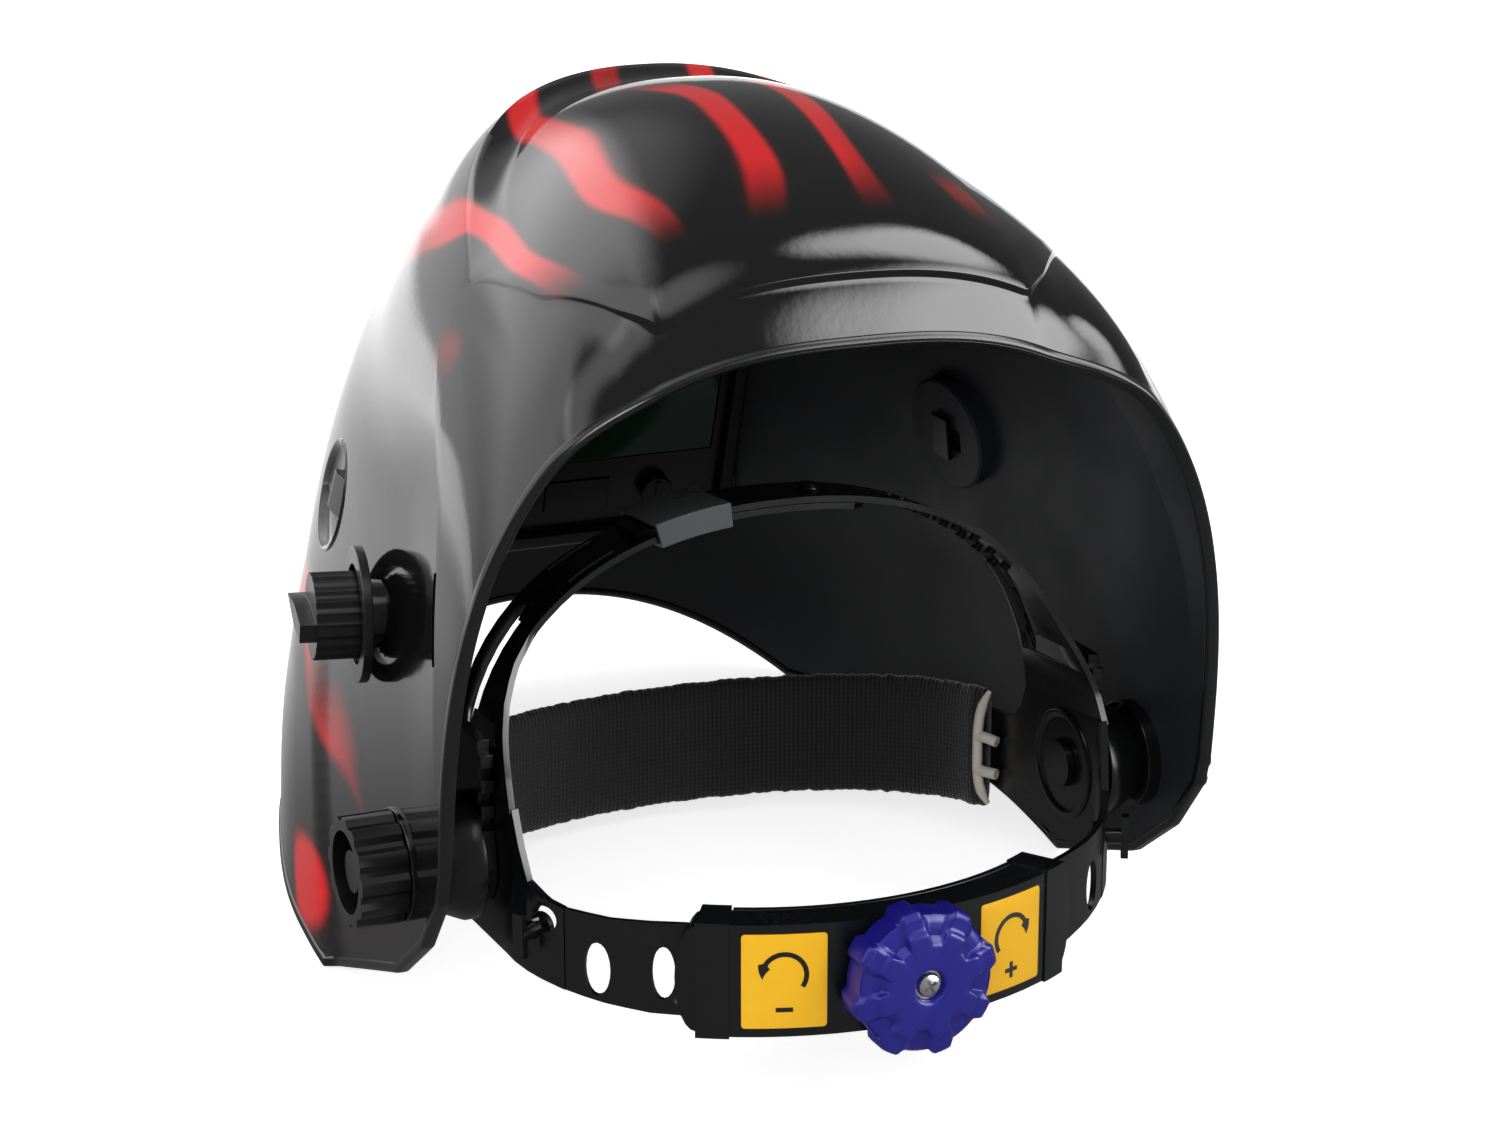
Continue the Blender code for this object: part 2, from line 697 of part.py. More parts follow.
for label, side in SIDES:
    point, normal = skin_point(CATCH_Y, CATCH_Z)
    outwards = Vector((side * normal.x, normal.y, normal.z))
    rearwards = (Vector((0, 1, 0)) - outwards * outwards.y).normalized()
    upwards = outwards.cross(rearwards)
    turn = Matrix((rearwards, upwards, outwards)).transposed().to_4x4()
    catch_frames[label] = empty(
        f"catch frame {label}",
        shell_frame,
        Matrix.Translation((side * point.x, point.y, point.z)) @ turn,
    )
    join(
        shell,
        rod(
            f"catch cup {label}",
            CATCH_RECESS_RADIUS + CATCH_FLOOR,
            (0, 0, -CATCH_RECESS_DEPTH - CATCH_FLOOR),
            (0, 0, -SHELL_WALL / 2),
            catch_frames[label],
        ),
    )
    cut(
        shell,
        rod(
            f"catch recess {label}",
            CATCH_RECESS_RADIUS,
            (0, 0, -CATCH_RECESS_DEPTH),
            (0, 0, 20 * MM),
            catch_frames[label],
        ),
    )

side_slot = block("side slot", (30 * MM, SLOT_WIDTH, SLOT_LENGTH), (0, 0, 0), shell_frame)
side_slot.matrix_local = Matrix.Translation(
    (skin_point(SLOT_Y, SLOT_Z)[0].x, SLOT_Y, SLOT_Z)
) @ Matrix.Rotation(SLOT_TILT, 4, "X")
cut(
    shell,
    block(
        "window opening",
        (WINDOW_WIDTH, 2 * SURROUND_DEPTH + 40 * MM, WINDOW_HEIGHT),
        (0, 0, 0),
        window_frame,
    ),
    block(
        "cover lens recess",
        (
            WINDOW_WIDTH + 2 * COVER_LENS_MARGIN + 2 * GAP,
            20 * MM,
            WINDOW_HEIGHT + 2 * COVER_LENS_MARGIN + 2 * GAP,
        ),
        (0, -10 * MM - SURROUND_PROUD + COVER_LENS_THICKNESS + 1 * MM + GAP, 0),
        window_frame,
    ),
    rod(
        "shade hole",
        SHADE_SHAFT_RADIUS + 2 * BORE_PLAY,
        (-40 * MM, 0, 0),
        (10 * MM, 0, 0),
        shade_frame,
    ),
    side_slot,
)
for label, side in SIDES:
    cut(
        shell,
        rod(
            f"pivot hole {label}",
            STUD_RADIUS + BORE_PLAY,
            (side * (PIVOT_BOSS_INNER_X - 30 * MM), 0, 0),
            (side * (PIVOT_BOSS_OUTER_X + 30 * MM), 0, 0),
            shell_frame,
        ),
        block(
            f"catch slot {label}",
            (CATCH_TRAVEL + 7 * MM + 2 * GAP, 8 * MM + 2 * GAP, CATCH_FLOOR + 5 * MM),
            (CATCH_TRAVEL / 2, 0, -CATCH_RECESS_DEPTH - CATCH_FLOOR / 2),
            catch_frames[label],
        ),
    )

# Side catches: a thumb wedge, a stem through the recess floor and a clip behind it
for label, side in SIDES:
    catch = block(
        f"side_catch_{label}",
        (7 * MM, 8 * MM, CATCH_FLOOR + 4 * MM),
        (0, 0, -CATCH_RECESS_DEPTH - CATCH_FLOOR / 2),
        catch_frames[label],
        "satin black",
    )
    wedge = prism(
        f"catch wedge {label}",
        [
            [
                (-7 * MM, 0),
                (8 * MM, 0),
                (8 * MM, 2 * MM),
                (-3 * MM, CATCH_RECESS_DEPTH - 1 * MM),
                (-7 * MM, CATCH_RECESS_DEPTH - 1 * MM),
            ]
        ],
        13 * MM,
        catch_frames[label],
        None,
        Matrix.Translation((0, 0, GAP - CATCH_RECESS_DEPTH)) @ UPRIGHT,
    )
    clip = block(
        f"catch clip {label}",
        (9 * MM, 16 * MM, 2 * MM),
        (0, 0, -CATCH_RECESS_DEPTH - CATCH_FLOOR - GAP - 1 * MM),
        catch_frames[label],
    )
    join(catch, wedge, clip)

# Window and filter, from the outside in
lens_width = WINDOW_WIDTH + 2 * COVER_LENS_MARGIN
lens_height = WINDOW_HEIGHT + 2 * COVER_LENS_MARGIN
lens_front = -SURROUND_PROUD + 1 * MM
block(
    "front_cover_lens",
    (lens_width, COVER_LENS_THICKNESS, lens_height),
    (0, lens_front + COVER_LENS_THICKNESS / 2, 0),
    window_frame,
    "clear lens",
)
holder_front = SURROUND_DEPTH - SURROUND_PROUD + GAP
holder_depth = HOLDER_LIP + CARTRIDGE_THICKNESS + GAP + 4 * MM
holder_width = CARTRIDGE_WIDTH + 2 * HOLDER_WALL
holder_height = CARTRIDGE_HEIGHT + 2 * HOLDER_WALL
holder = block(
    "filter_holder",
    (holder_width, holder_depth, holder_height),
    (0, holder_front + holder_depth / 2, 0),
    window_frame,
    "satin black",
    bevel=2 * MM,
)
cut(
    holder,
    block(
        "holder window",
        (WINDOW_WIDTH, 60 * MM, WINDOW_HEIGHT),
        (0, holder_front, 0),
        window_frame,
    ),
    block(
        "holder pocket",
        (CARTRIDGE_WIDTH + 2 * GAP, 60 * MM, CARTRIDGE_HEIGHT + 2 * GAP),
        (0, holder_front + HOLDER_LIP + 30 * MM, 0),
        window_frame,
    ),
)
cartridge_front = holder_front + HOLDER_LIP + GAP
cartridge_back = cartridge_front + CARTRIDGE_THICKNESS
glass_z = 8 * MM
cartridge = block(
    "filter_cartridge",
    (CARTRIDGE_WIDTH, CARTRIDGE_THICKNESS, CARTRIDGE_HEIGHT),
    (0, cartridge_front + CARTRIDGE_THICKNESS / 2, 0),
    window_frame,
    "satin black",
)
glass_y = cartridge_front + FILTER_GLASS_THICKNESS / 2 + 1 * MM
block(
    "filter_glass",
    (FILTER_GLASS_WIDTH, FILTER_GLASS_THICKNESS, FILTER_GLASS_HEIGHT),
    (0, glass_y, glass_z),
    window_frame,
    "filter green",
)
solar_width = 60 * MM
solar_height = 12 * MM
solar_thickness = 1 * MM
solar_z = glass_z - FILTER_GLASS_HEIGHT / 2 - 4 * MM - solar_height / 2
block(
    "solar_cell",
    (solar_width, solar_thickness, solar_height),
    (0, cartridge_front + solar_thickness / 2, solar_z),
    window_frame,
    "solar cell",
)
inner_lens_width = FILTER_GLASS_WIDTH + 10 * MM
inner_lens_height = FILTER_GLASS_HEIGHT + 8 * MM
inner_lens_thickness = 1.2 * MM
block(
    "inner_cover_lens",
    (inner_lens_width, inner_lens_thickness, inner_lens_height),
    (0, cartridge_back - inner_lens_thickness / 2, glass_z),
    window_frame,
    "clear lens",
)
cut(
    cartridge,
    block(
        "glass pocket",
        (FILTER_GLASS_WIDTH + 2 * GAP, 20 * MM, FILTER_GLASS_HEIGHT + 2 * GAP),
        (0, glass_y + FILTER_GLASS_THICKNESS / 2 + GAP - 10 * MM, glass_z),
        window_frame,
    ),
    block(
        "glass view",
        (FILTER_GLASS_WIDTH - 4 * MM, 40 * MM, FILTER_GLASS_HEIGHT - 4 * MM),
        (0, cartridge_front, glass_z),
        window_frame,
    ),
    block(
        "solar pocket",
        (solar_width + 2 * GAP, 20 * MM, solar_height + 2 * GAP),
        (0, cartridge_front + solar_thickness + GAP - 10 * MM, solar_z),
        window_frame,
    ),
    block(
        "inner lens pocket",
        (inner_lens_width + 2 * GAP, 20 * MM, inner_lens_height + 2 * GAP),
        (0, cartridge_back - inner_lens_thickness - GAP + 10 * MM, glass_z),
        window_frame,
    ),
)
sensor_radius = 4 * MM
sensor_length = 3 * MM
for label, side in SIDES:
    sensor_x = side * (solar_width / 2 + 3 * sensor_radius)
    rod(
        f"arc_sensor_{label}",
        sensor_radius,
        (sensor_x, cartridge_front - 0.5 * MM, solar_z),
        (sensor_x, cartridge_front + sensor_length, solar_z),
        window_frame,
        "dull black",
        segments=20,
    )
    cut(
        cartridge,
        rod(
            f"sensor pocket {label}",
            sensor_radius + GAP,
            (sensor_x, cartridge_front - 10 * MM, solar_z),
            (sensor_x, cartridge_front + sensor_length + GAP, solar_z),
            window_frame,
            segments=20,
        ),
    )
dial_radius = 6 * MM
dial_height = 4 * MM
dial_stem = 2 * MM
dial_z = -CARTRIDGE_HEIGHT / 2 + 14 * MM
for name, dial_x in (("sensitivity_knob", 30 * MM), ("delay_knob", -30 * MM)):
    dial_frame = empty(
        name + " frame", window_frame, Matrix.Translation((dial_x, cartridge_back, dial_z))
    )
    dial = prism(
        name,
        [lobed(dial_radius, 0.6 * MM, 10, 3, 1.0)],
        dial_height,
        dial_frame,
        "satin black",
        Matrix.Translation((0, GAP + dial_height / 2, 0)) @ UPRIGHT,
    )
    join(
        dial,
        rod(
            name + " stem",
            dial_stem,
            (0, -3 * MM, 0),
            (0, GAP + 1 * MM, 0),
            dial_frame,
            segments=20,
        ),
        block(
            name + " pointer",
            (1.6 * MM, 1.4 * MM, 2 * dial_radius - 3 * MM),
            (0, GAP + dial_height + 0.3 * MM, 0),
            dial_frame,
        ),
    )
    cut(
        cartridge,
        rod(
            name + " socket",
            dial_stem + GAP,
            (0, -3 * MM - GAP, 0),
            (0, 10 * MM, 0),
            dial_frame,
            segments=20,
        ),
    )
drawer_width = 24 * MM
drawer_height = 12 * MM
drawer_depth = 4 * MM
block(
    "battery_drawer",
    (drawer_width, drawer_depth, drawer_height),
    (0, cartridge_back - drawer_depth / 2 + 1 * MM, dial_z),
    window_frame,
    "dull black",
)
cut(
    cartridge,
    block(
        "drawer pocket",
        (drawer_width + 2 * GAP, 20 * MM, drawer_height + 2 * GAP),
        (0, cartridge_back - drawer_depth + 1 * MM - GAP + 10 * MM, dial_z),
        window_frame,
    ),
)

# Shade control: ring and knob outside, rotary control body and nut inside
ring_inner = SHADE_KNOB_RADIUS + 2 * MM
prism(
    "shade_bezel_ring",
    [circle(SHADE_RING_RADIUS, 48), circle(ring_inner, 48)],
    SHADE_RING_THICKNESS,
    shade_frame,
    "satin black",
    Matrix.Translation((GAP + SHADE_RING_THICKNESS / 2, 0, 0)) @ ACROSS,
)
nut_thickness = 2.5 * MM
shade_axis = empty("shade knob axis", shade_frame)
knob_start = GAP + 1 * MM
knob_swing = (SHADE_KNOB_RADIUS - 2 * MM) * math.tan(SHADE_TURN_IN)
wing_end = (TENSION_KNOB_FACE_X - shade_centre.x) / shade_aim.x - shade_seat - knob_swing
knob_end = wing_end - 5 * MM
shade_knob = prism(
    "shade_knob",
    [lobed(SHADE_KNOB_RADIUS, 0.8 * MM, SHADE_KNOB_RIBS, 3, 1.0)],
    knob_end - knob_start,
    shade_axis,
    "satin black",
    Matrix.Translation(((knob_start + knob_end) / 2, 0, 0)) @ ACROSS,
)
join(
    shade_knob,
    prism(
        "shade wing",
        [
            [
                (-SHADE_KNOB_RADIUS - 3 * MM, 0),
                (-2 * MM, -3.5 * MM),
                (SHADE_KNOB_RADIUS - 2 * MM, -3 * MM),
                (SHADE_KNOB_RADIUS - 2 * MM, 3 * MM),
                (-2 * MM, 3.5 * MM),
            ]
        ],
        wing_end - knob_end + 2 * MM,
        shade_axis,
        None,
        Matrix.Translation(((wing_end + knob_end - 2 * MM) / 2, 0, 0)) @ ACROSS,
    ),
    rod(
        "shade shaft",
        SHADE_SHAFT_RADIUS,
        (boss_back - nut_thickness - 6 * MM, 0, 0),
        (knob_start + 1 * MM, 0, 0),
        shade_axis,
        segments=24,
    ),
)
prism(
    "shade_control_nut",
    [circle(9 * MM, 6), circle(SHADE_SHAFT_RADIUS + BORE_PLAY, 24)],
    nut_thickness,
    shade_frame,
    "steel",
    Matrix.Translation((boss_back - GAP - nut_thickness / 2, 0, 0)) @ ACROSS,
)
control_front = boss_back - 2 * GAP - nut_thickness
control = rod(
    "shade_control_body",
    SHADE_CONTROL_RADIUS,
    (control_front - SHADE_CONTROL_LENGTH, 0, 0),
    (control_front, 0, 0),
    shade_frame,
    "dull black",
)
cut(
    control,
    rod(
        "control bore",
        SHADE_SHAFT_RADIUS + BORE_PLAY,
        (boss_back - nut_thickness - 6 * MM - GAP, 0, 0),
        (10 * MM, 0, 0),
        shade_frame,
        segments=24,
    ),
)

# Tilt pivots
plate_outer_x = PLATE_INNER_X + PLATE_THICKNESS
plate_middle_x = PLATE_INNER_X + PLATE_THICKNESS / 2
stop_outer_x = plate_outer_x + GAP + TILT_STOP_THICKNESS
bore = STUD_RADIUS + BORE_PLAY
knob_inner_x = PIVOT_BOSS_OUTER_X + GAP
stud_end_x = TENSION_KNOB_FACE_X - 5 * MM
notches = 4
notch = 4 * MM
stop_radius = 15 * MM
stop_outline = [
    (stop_radius * math.cos(math.radians(a)), stop_radius * math.sin(math.radians(a)))
    for a in range(150, 391, 15)
]
for k in range(notches):
    low = stop_radius * 0.5 + k * 2 * notch
    stop_outline += [
        (stop_radius - 2 * MM, low + notch),
        (stop_radius - 5 * MM, low + notch),
        (stop_radius - 5 * MM, low + 2 * notch),
        (stop_radius - 2 * MM, low + 2 * notch),
    ]
stop_outline.append((-stop_radius + 6 * MM, stop_radius * 0.5 + notches * 2 * notch))
for label, side in SIDES:
    stud = rod(
        f"pivot_stud_{label}",
        STUD_RADIUS,
        (side * (PLATE_INNER_X - GAP - 1 * MM), 0, 0),
        (side * stud_end_x, 0, 0),
        headgear_frame,
        "steel",
        segments=24,
    )
    join(
        stud,
        rod(
            f"stud head {label}",
            STUD_HEAD_RADIUS,
            (side * (PLATE_INNER_X - GAP - STUD_HEAD_THICKNESS), 0, 0),
            (side * (PLATE_INNER_X - GAP), 0, 0),
            headgear_frame,
            segments=24,
        ),
    )
    prism(
        f"tilt_stop_{label}",
        [stop_outline, circle(bore, 24)],
        TILT_STOP_THICKNESS,
        headgear_frame,
        "satin black",
        Matrix.Translation((side * (plate_outer_x + GAP + TILT_STOP_THICKNESS / 2), 0, 0)) @ ACROSS,
    )
    turned(
        f"pivot_spacer_{label}",
        [
            (bore, 0),
            (bore, PIVOT_BOSS_INNER_X - stop_outer_x - 2 * GAP),
            (PIVOT_BOSS_RADIUS - 3 * MM, PIVOT_BOSS_INNER_X - stop_outer_x - 2 * GAP),
            (PIVOT_BOSS_RADIUS + 2 * MM, 4 * MM),
            (PIVOT_BOSS_RADIUS + 2 * MM, 0),
        ],
        headgear_frame,
        "satin black",
        Matrix.Translation((side * (stop_outer_x + GAP), 0, 0))
        @ Matrix.Rotation(side * math.pi / 2, 4, "Y"),
        steps=32,
    )
    knob_axis = empty(f"tension knob axis {label}", headgear_frame)
    floor_x = knob_inner_x + 4 * MM
    knob = prism(
        f"tension_knob_{label}",
        [
            lobed(TENSION_KNOB_RADIUS, 2 * MM, TENSION_KNOB_FLUTES, 5, 2.0),
            circle(TENSION_KNOB_RADIUS - 4.5 * MM, 36),
        ],
        TENSION_KNOB_FACE_X - knob_inner_x,
        knob_axis,
        "satin black",
        Matrix.Translation((side * (TENSION_KNOB_FACE_X + knob_inner_x) / 2, 0, 0)) @ ACROSS,
    )
    join(
        knob,
        rod(
            f"knob floor {label}",
            TENSION_KNOB_RADIUS - 3 * MM,
            (side * (knob_inner_x + 0.2 * MM), 0, 0),
            (side * floor_x, 0, 0),
            knob_axis,
            segments=36,
        ),
        rod(
            f"knob hub {label}",
            STUD_RADIUS + 2.6 * MM,
            (side * (knob_inner_x + 1 * MM), 0, 0),
            (side * (TENSION_KNOB_FACE_X - 2 * MM), 0, 0),
            knob_axis,
            segments=24,
        ),
    )
    cut(
        knob,
        rod(
            f"knob bore {label}",
            STUD_RADIUS + GAP,
            (side * (knob_inner_x - 10 * MM), 0, 0),
            (side * (stud_end_x + GAP), 0, 0),
            knob_axis,
            segments=24,
        ),
    )

# Head path, seen from above: from the middle of the forehead round the left side into the ratchet housing
arc_y = RATCHET_BACK - RATCHET_RADIUS
channel_outer = RATCHET_RADIUS - RATCHET_WALL
channel_inner = RATCHET_RADIUS - RATCHET_DEPTH
strap_radius = (channel_inner + channel_outer) / 2
mouth = RATCHET_HALF_ANGLE
quarter = np.linspace(0, math.pi / 2, 60)
forehead = np.stack(
    [plate_middle_x * np.sin(quarter), -PLATE_FRONT - (BAND_FRONT - PLATE_FRONT) * np.cos(quarter)], axis=1
)
temple = np.array([(plate_middle_x, y) for y in np.linspace(-PLATE_FRONT, PLATE_STRAIGHT_BACK, 20)[1:]])
bend_start = temple[-1]
bend_end = np.array((strap_radius * math.sin(mouth), arc_y + strap_radius * math.cos(mouth)))
lead_in = np.array((0, 1)) * 75 * MM
lead_out = np.array((-math.cos(mouth), math.sin(mouth))) * 40 * MM
u = np.linspace(0, 1, 40)[1:, None]
bend = (
    bend_start * (1 - u * u * (3 - 2 * u))
    + bend_end * u * u * (3 - 2 * u)
    + lead_in * (u - 2 * u * u + u**3)
    + lead_out * (u**3 - u * u)
)
inside = np.linspace(mouth, math.radians(-9), 40)[1:]
nape = np.stack([strap_radius * np.sin(inside), arc_y + strap_radius * np.cos(inside)], axis=1)
half_path = np.concatenate([forehead, temple, bend, nape])
travel = np.concatenate([[0], np.cumsum(np.linalg.norm(np.diff(half_path, axis=0), axis=1))])
pivot_travel = travel[len(forehead) - 1] + PLATE_FRONT
mouth_travel = travel[len(forehead) + len(temple) + len(bend) - 1]


def path_on(side):
    """The head path on one side."""
    return half_path * (side, 1)


def band_z(along):
    """Middle height of the front band, which dips towards the forehead."""
    share = np.minimum(along / (pivot_travel - PLATE_FRONT), 1)
    return BAND_FRONT_Z + (BAND_SIDE_Z - BAND_FRONT_Z) * share**2


# Headband: the front band and both side plates, moulded as one and bent round the head path
peg_y = 33 * MM
peg_z = -14 * MM
peg_radius = 2.5 * MM
crown_front = CROWN_STRAP_Y - CROWN_STRAP_WIDTH / 2
crown_rear = CROWN_STRAP_Y + CROWN_STRAP_WIDTH / 2
strap_top = RATCHET_Z + REAR_STRAP_HEIGHT / 2
strap_bottom = RATCHET_Z - REAR_STRAP_HEIGHT / 2
split_top = strap_top + 2 * MM
split_bottom = strap_bottom + 6 * MM
band_stations = np.linspace(0, pivot_travel - PLATE_FRONT, 12)
upper = [(a, band_z(a) + BAND_HEIGHT / 2) for a in band_stations]
side_top = upper[-1][1]
upper += [
    (pivot_travel + a, z)
    for a, z in (
        (crown_front - 9 * MM, side_top + 2 * MM),
        (crown_front - 3 * MM, side_top + 0.45 * (PLATE_TOP - side_top)),
        (crown_front, PLATE_TOP + crown_front * math.tan(CROWN_STRAP_LEAN)),
        (
            crown_rear + CROWN_STRAP_FLARE,
            PLATE_TOP + (crown_rear + CROWN_STRAP_FLARE) * math.tan(CROWN_STRAP_LEAN),
        ),
        (crown_rear + CROWN_STRAP_FLARE + 3 * MM, PLATE_TOP * 0.55),
        (crown_rear + CROWN_STRAP_FLARE + 6.5 * MM, split_top + 6 * MM),
        (PLATE_BACK - 5 * MM, split_top + 1.5 * MM),
        (PLATE_BACK, split_top),
    )
]
lower = [(a, band_z(a) - BAND_HEIGHT / 2) for a in band_stations]
lower += [
    (pivot_travel + a, z)
    for a, z in (
        (-20 * MM, PLATE_BOTTOM),
        (20 * MM, PLATE_BOTTOM + 1 * MM),
        (PLATE_BACK - 9 * MM, (PLATE_BOTTOM + split_bottom) / 2),
        (PLATE_BACK, split_bottom),
    )
]
left_outline = [(a, z) for a, z in upper[1:]] + [(a, z) for a, z in lower[:0:-1]]
right_outline = [(-a, z) for a, z in lower[1:]] + [(-a, z) for a, z in upper[:0:-1]]
whole_outline = left_outline + [lower[0]] + right_outline + [upper[0]]
whole_path = np.concatenate([path_on(-1)[:0:-1], path_on(1)])
whole_start = travel[-1]
holes = []
for side in (1, -1):
    holes.append(circle(bore, 24, (side * pivot_travel, 0)))
    holes.append(circle(peg_radius + GAP, 16, (side * (pivot_travel + peg_y), peg_z)))
bent(
    "headband",
    [[(a + whole_start, z) for a, z in outline] for outline in [whole_outline] + holes],
    PLATE_THICKNESS,
    whole_path,
    headgear_frame,
    "satin black",
)

# Sweatband: a soft pad inside the front band, full in the middle and drawn in at its edges
pad_end = pivot_travel - PLATE_FRONT - 4 * MM
pad_offset = PLATE_THICKNESS / 2 + GAP
pad_section = [
    (0.12, 0.5),
    (0, 0.36),
    (0, 0.0),
    (0, -0.36),
    (0.12, -0.5),
    (0.62, -0.47),
    (0.92, -0.3),
    (1, 0.0),
    (0.92, 0.3),
    (0.62, 0.47),
]
pad_rings = []
whole_travel = np.concatenate([-travel[:0:-1], travel])
whole_tangent = np.gradient(whole_path, axis=0)
whole_tangent /= np.linalg.norm(whole_tangent, axis=1)[:, None]
for along in np.linspace(-pad_end, pad_end, 37):
    place = np.array([np.interp(along, whole_travel, whole_path[:, k]) for k in (0, 1)])
    aim = np.array([np.interp(along, whole_travel, whole_tangent[:, k]) for k in (0, 1)])
    inwards = np.array((-aim[1], aim[0])) / np.linalg.norm(aim)
    ring = []
    for depth, height in pad_section:
        spot = place + inwards * (pad_offset + depth * SWEATBAND_THICKNESS)
        ring.append((spot[0], spot[1], band_z(abs(along)) + height * SWEATBAND_HEIGHT))
    pad_rings.append(ring)
swept("sweatband", pad_rings, headgear_frame, "knit black")

# Crown straps: two halves on one leaning arch, the right one lying over the left at the top
crown_frame = empty(
    "crown frame",
    headgear_frame,
    Matrix.Translation((0, 0, PLATE_TOP)) @ Matrix.Rotation(CROWN_STRAP_LEAN, 4, "X"),
)
arch_base = -5 * MM
crown_rise = CROWN_STRAP_TOP - STRAP_THICKNESS / 2 - PLATE_TOP - arch_base
layer = STRAP_THICKNESS + GAP
arch_power = 0.88


def crown_point(angle, lift=0.0):
    """A point of the arch by angle from the left plate, and its upward direction."""
    cos, sin = math.cos(angle), math.sin(angle)
    point = Vector(
        (
            plate_middle_x * math.copysign(abs(cos) ** arch_power, cos),
            arch_base + crown_rise * sin**arch_power,
        )
    )
    normal = Vector((point.x / plate_middle_x**2, (point.y - arch_base) / crown_rise**2)).normalized()
    return point + normal * lift, normal


def crown_path(start, end, lift):
    """The arch between two angles, lifted where the right half lies over the left."""
    points = []
    for angle in np.linspace(start, end, 120):
        raised = lift * min(1, max(0, (math.pi - angle - 0.35) / 0.5))
        points.append(tuple(crown_point(angle, raised)[0]))
    return points


low_angle = math.asin(((GAP - arch_base) / crown_rise) ** (1 / arch_power))
left_tail = math.pi / 2 + 0.27
right_tail = math.pi / 2 - 0.42
slot_start = 22 * MM
slot_end = 52 * MM
slot_half = 2.5 * MM
crown_straps = {}
for label, path in (
    ("left", crown_path(low_angle, left_tail, 0)),
    ("right", crown_path(math.pi - low_angle, right_tail, layer)),
):
    length = sum(math.dist(first, second) for first, second in zip(path, path[1:])) - 0.1 * MM
    rear_edge = [
        (a, crown_rear + share * CROWN_STRAP_FLARE)
        for a, share in (
            (0, 1),
            (9 * MM, 0.82),
            (18 * MM, 0.58),
            (28 * MM, 0.32),
            (40 * MM, 0.1),
            (52 * MM, 0),
        )
    ]
    outline = rear_edge + [
        (length - 6 * MM, crown_rear),
        (length, crown_rear - 6 * MM),
        (length, crown_front + 6 * MM),
        (length - 6 * MM, crown_front),
        (0, crown_front),
    ]
    slot = [
        (slot_start, CROWN_STRAP_Y - slot_half),
        (slot_end, CROWN_STRAP_Y - slot_half),
        (slot_end, CROWN_STRAP_Y + slot_half),
        (slot_start, CROWN_STRAP_Y + slot_half),
    ]
    crown_straps[label] = bent(
        f"crown_strap_{label}",
        [[(a, -y) for a, y in loop] for loop in (outline, slot)],
        STRAP_THICKNESS,
        path,
        crown_frame,
        "satin black",
        UPRIGHT,
        spacing=7 * MM,
    )
crown_peg_radius = 2 * MM
peg_base, peg_line = crown_point(math.pi / 2 + 0.12)


def peg_spot(height):
    """A place on the crown peg's axis at a height over the middle of the lower strap."""
    spot = peg_base + peg_line * height
    return (spot.x, CROWN_STRAP_Y, spot.y)


peg_seat = layer + STRAP_THICKNESS / 2 + GAP
crown_peg = rod(
    "crown_peg",
    crown_peg_radius,
    peg_spot(-STRAP_THICKNESS / 2 - 2 * MM),
    peg_spot(peg_seat + 1 * MM),
    crown_frame,
    "satin black",
    segments=20,
)
join(
    crown_peg,
    rod(
        "crown peg head",
        1.9 * crown_peg_radius,
        peg_spot(peg_seat),
        peg_spot(peg_seat + 2 * MM),
        crown_frame,
        end_radius=1.3 * crown_peg_radius,
        segments=20,
    ),
)
peg_hole = rod(
    "crown peg hole",
    crown_peg_radius + GAP,
    peg_spot(-10 * MM),
    peg_spot(10 * MM),
    crown_frame,
    segments=20,
)
for strap in crown_straps.values():
    cut(strap, peg_hole)
buckle_length = 25 * MM
buckle_wall = 1.4 * MM
buckle_play = 0.4 * MM
buckle_angle = right_tail + 0.14
buckle_path = [
    tuple(crown_point(buckle_angle + turn, layer / 2)[0]) for turn in np.linspace(0.3, -0.3, 60)
]
buckle_middle = sum(math.dist(first, second) for first, second in zip(buckle_path, buckle_path[1:])) / 2
inner_width = CROWN_STRAP_WIDTH + 2 * buckle_play
inner_height = STRAP_THICKNESS + layer + 2 * buckle_play


def sleeve(name, length, width, height, finish=None):
    """A block bent round the arch at the buckle."""
    outline = [(buckle_middle + a, b - CROWN_STRAP_Y) for a, b in rectangle(length, width)]
    return bent(name, [outline], height, buckle_path, crown_frame, finish, UPRIGHT)


buckle = sleeve(
    "crown_buckle",
    buckle_length,
    inner_width + 2 * buckle_wall,
    inner_height + 2 * buckle_wall,
    "satin black",
)
cut(buckle, sleeve("buckle opening", buckle_length + 10 * MM, inner_width, inner_height))

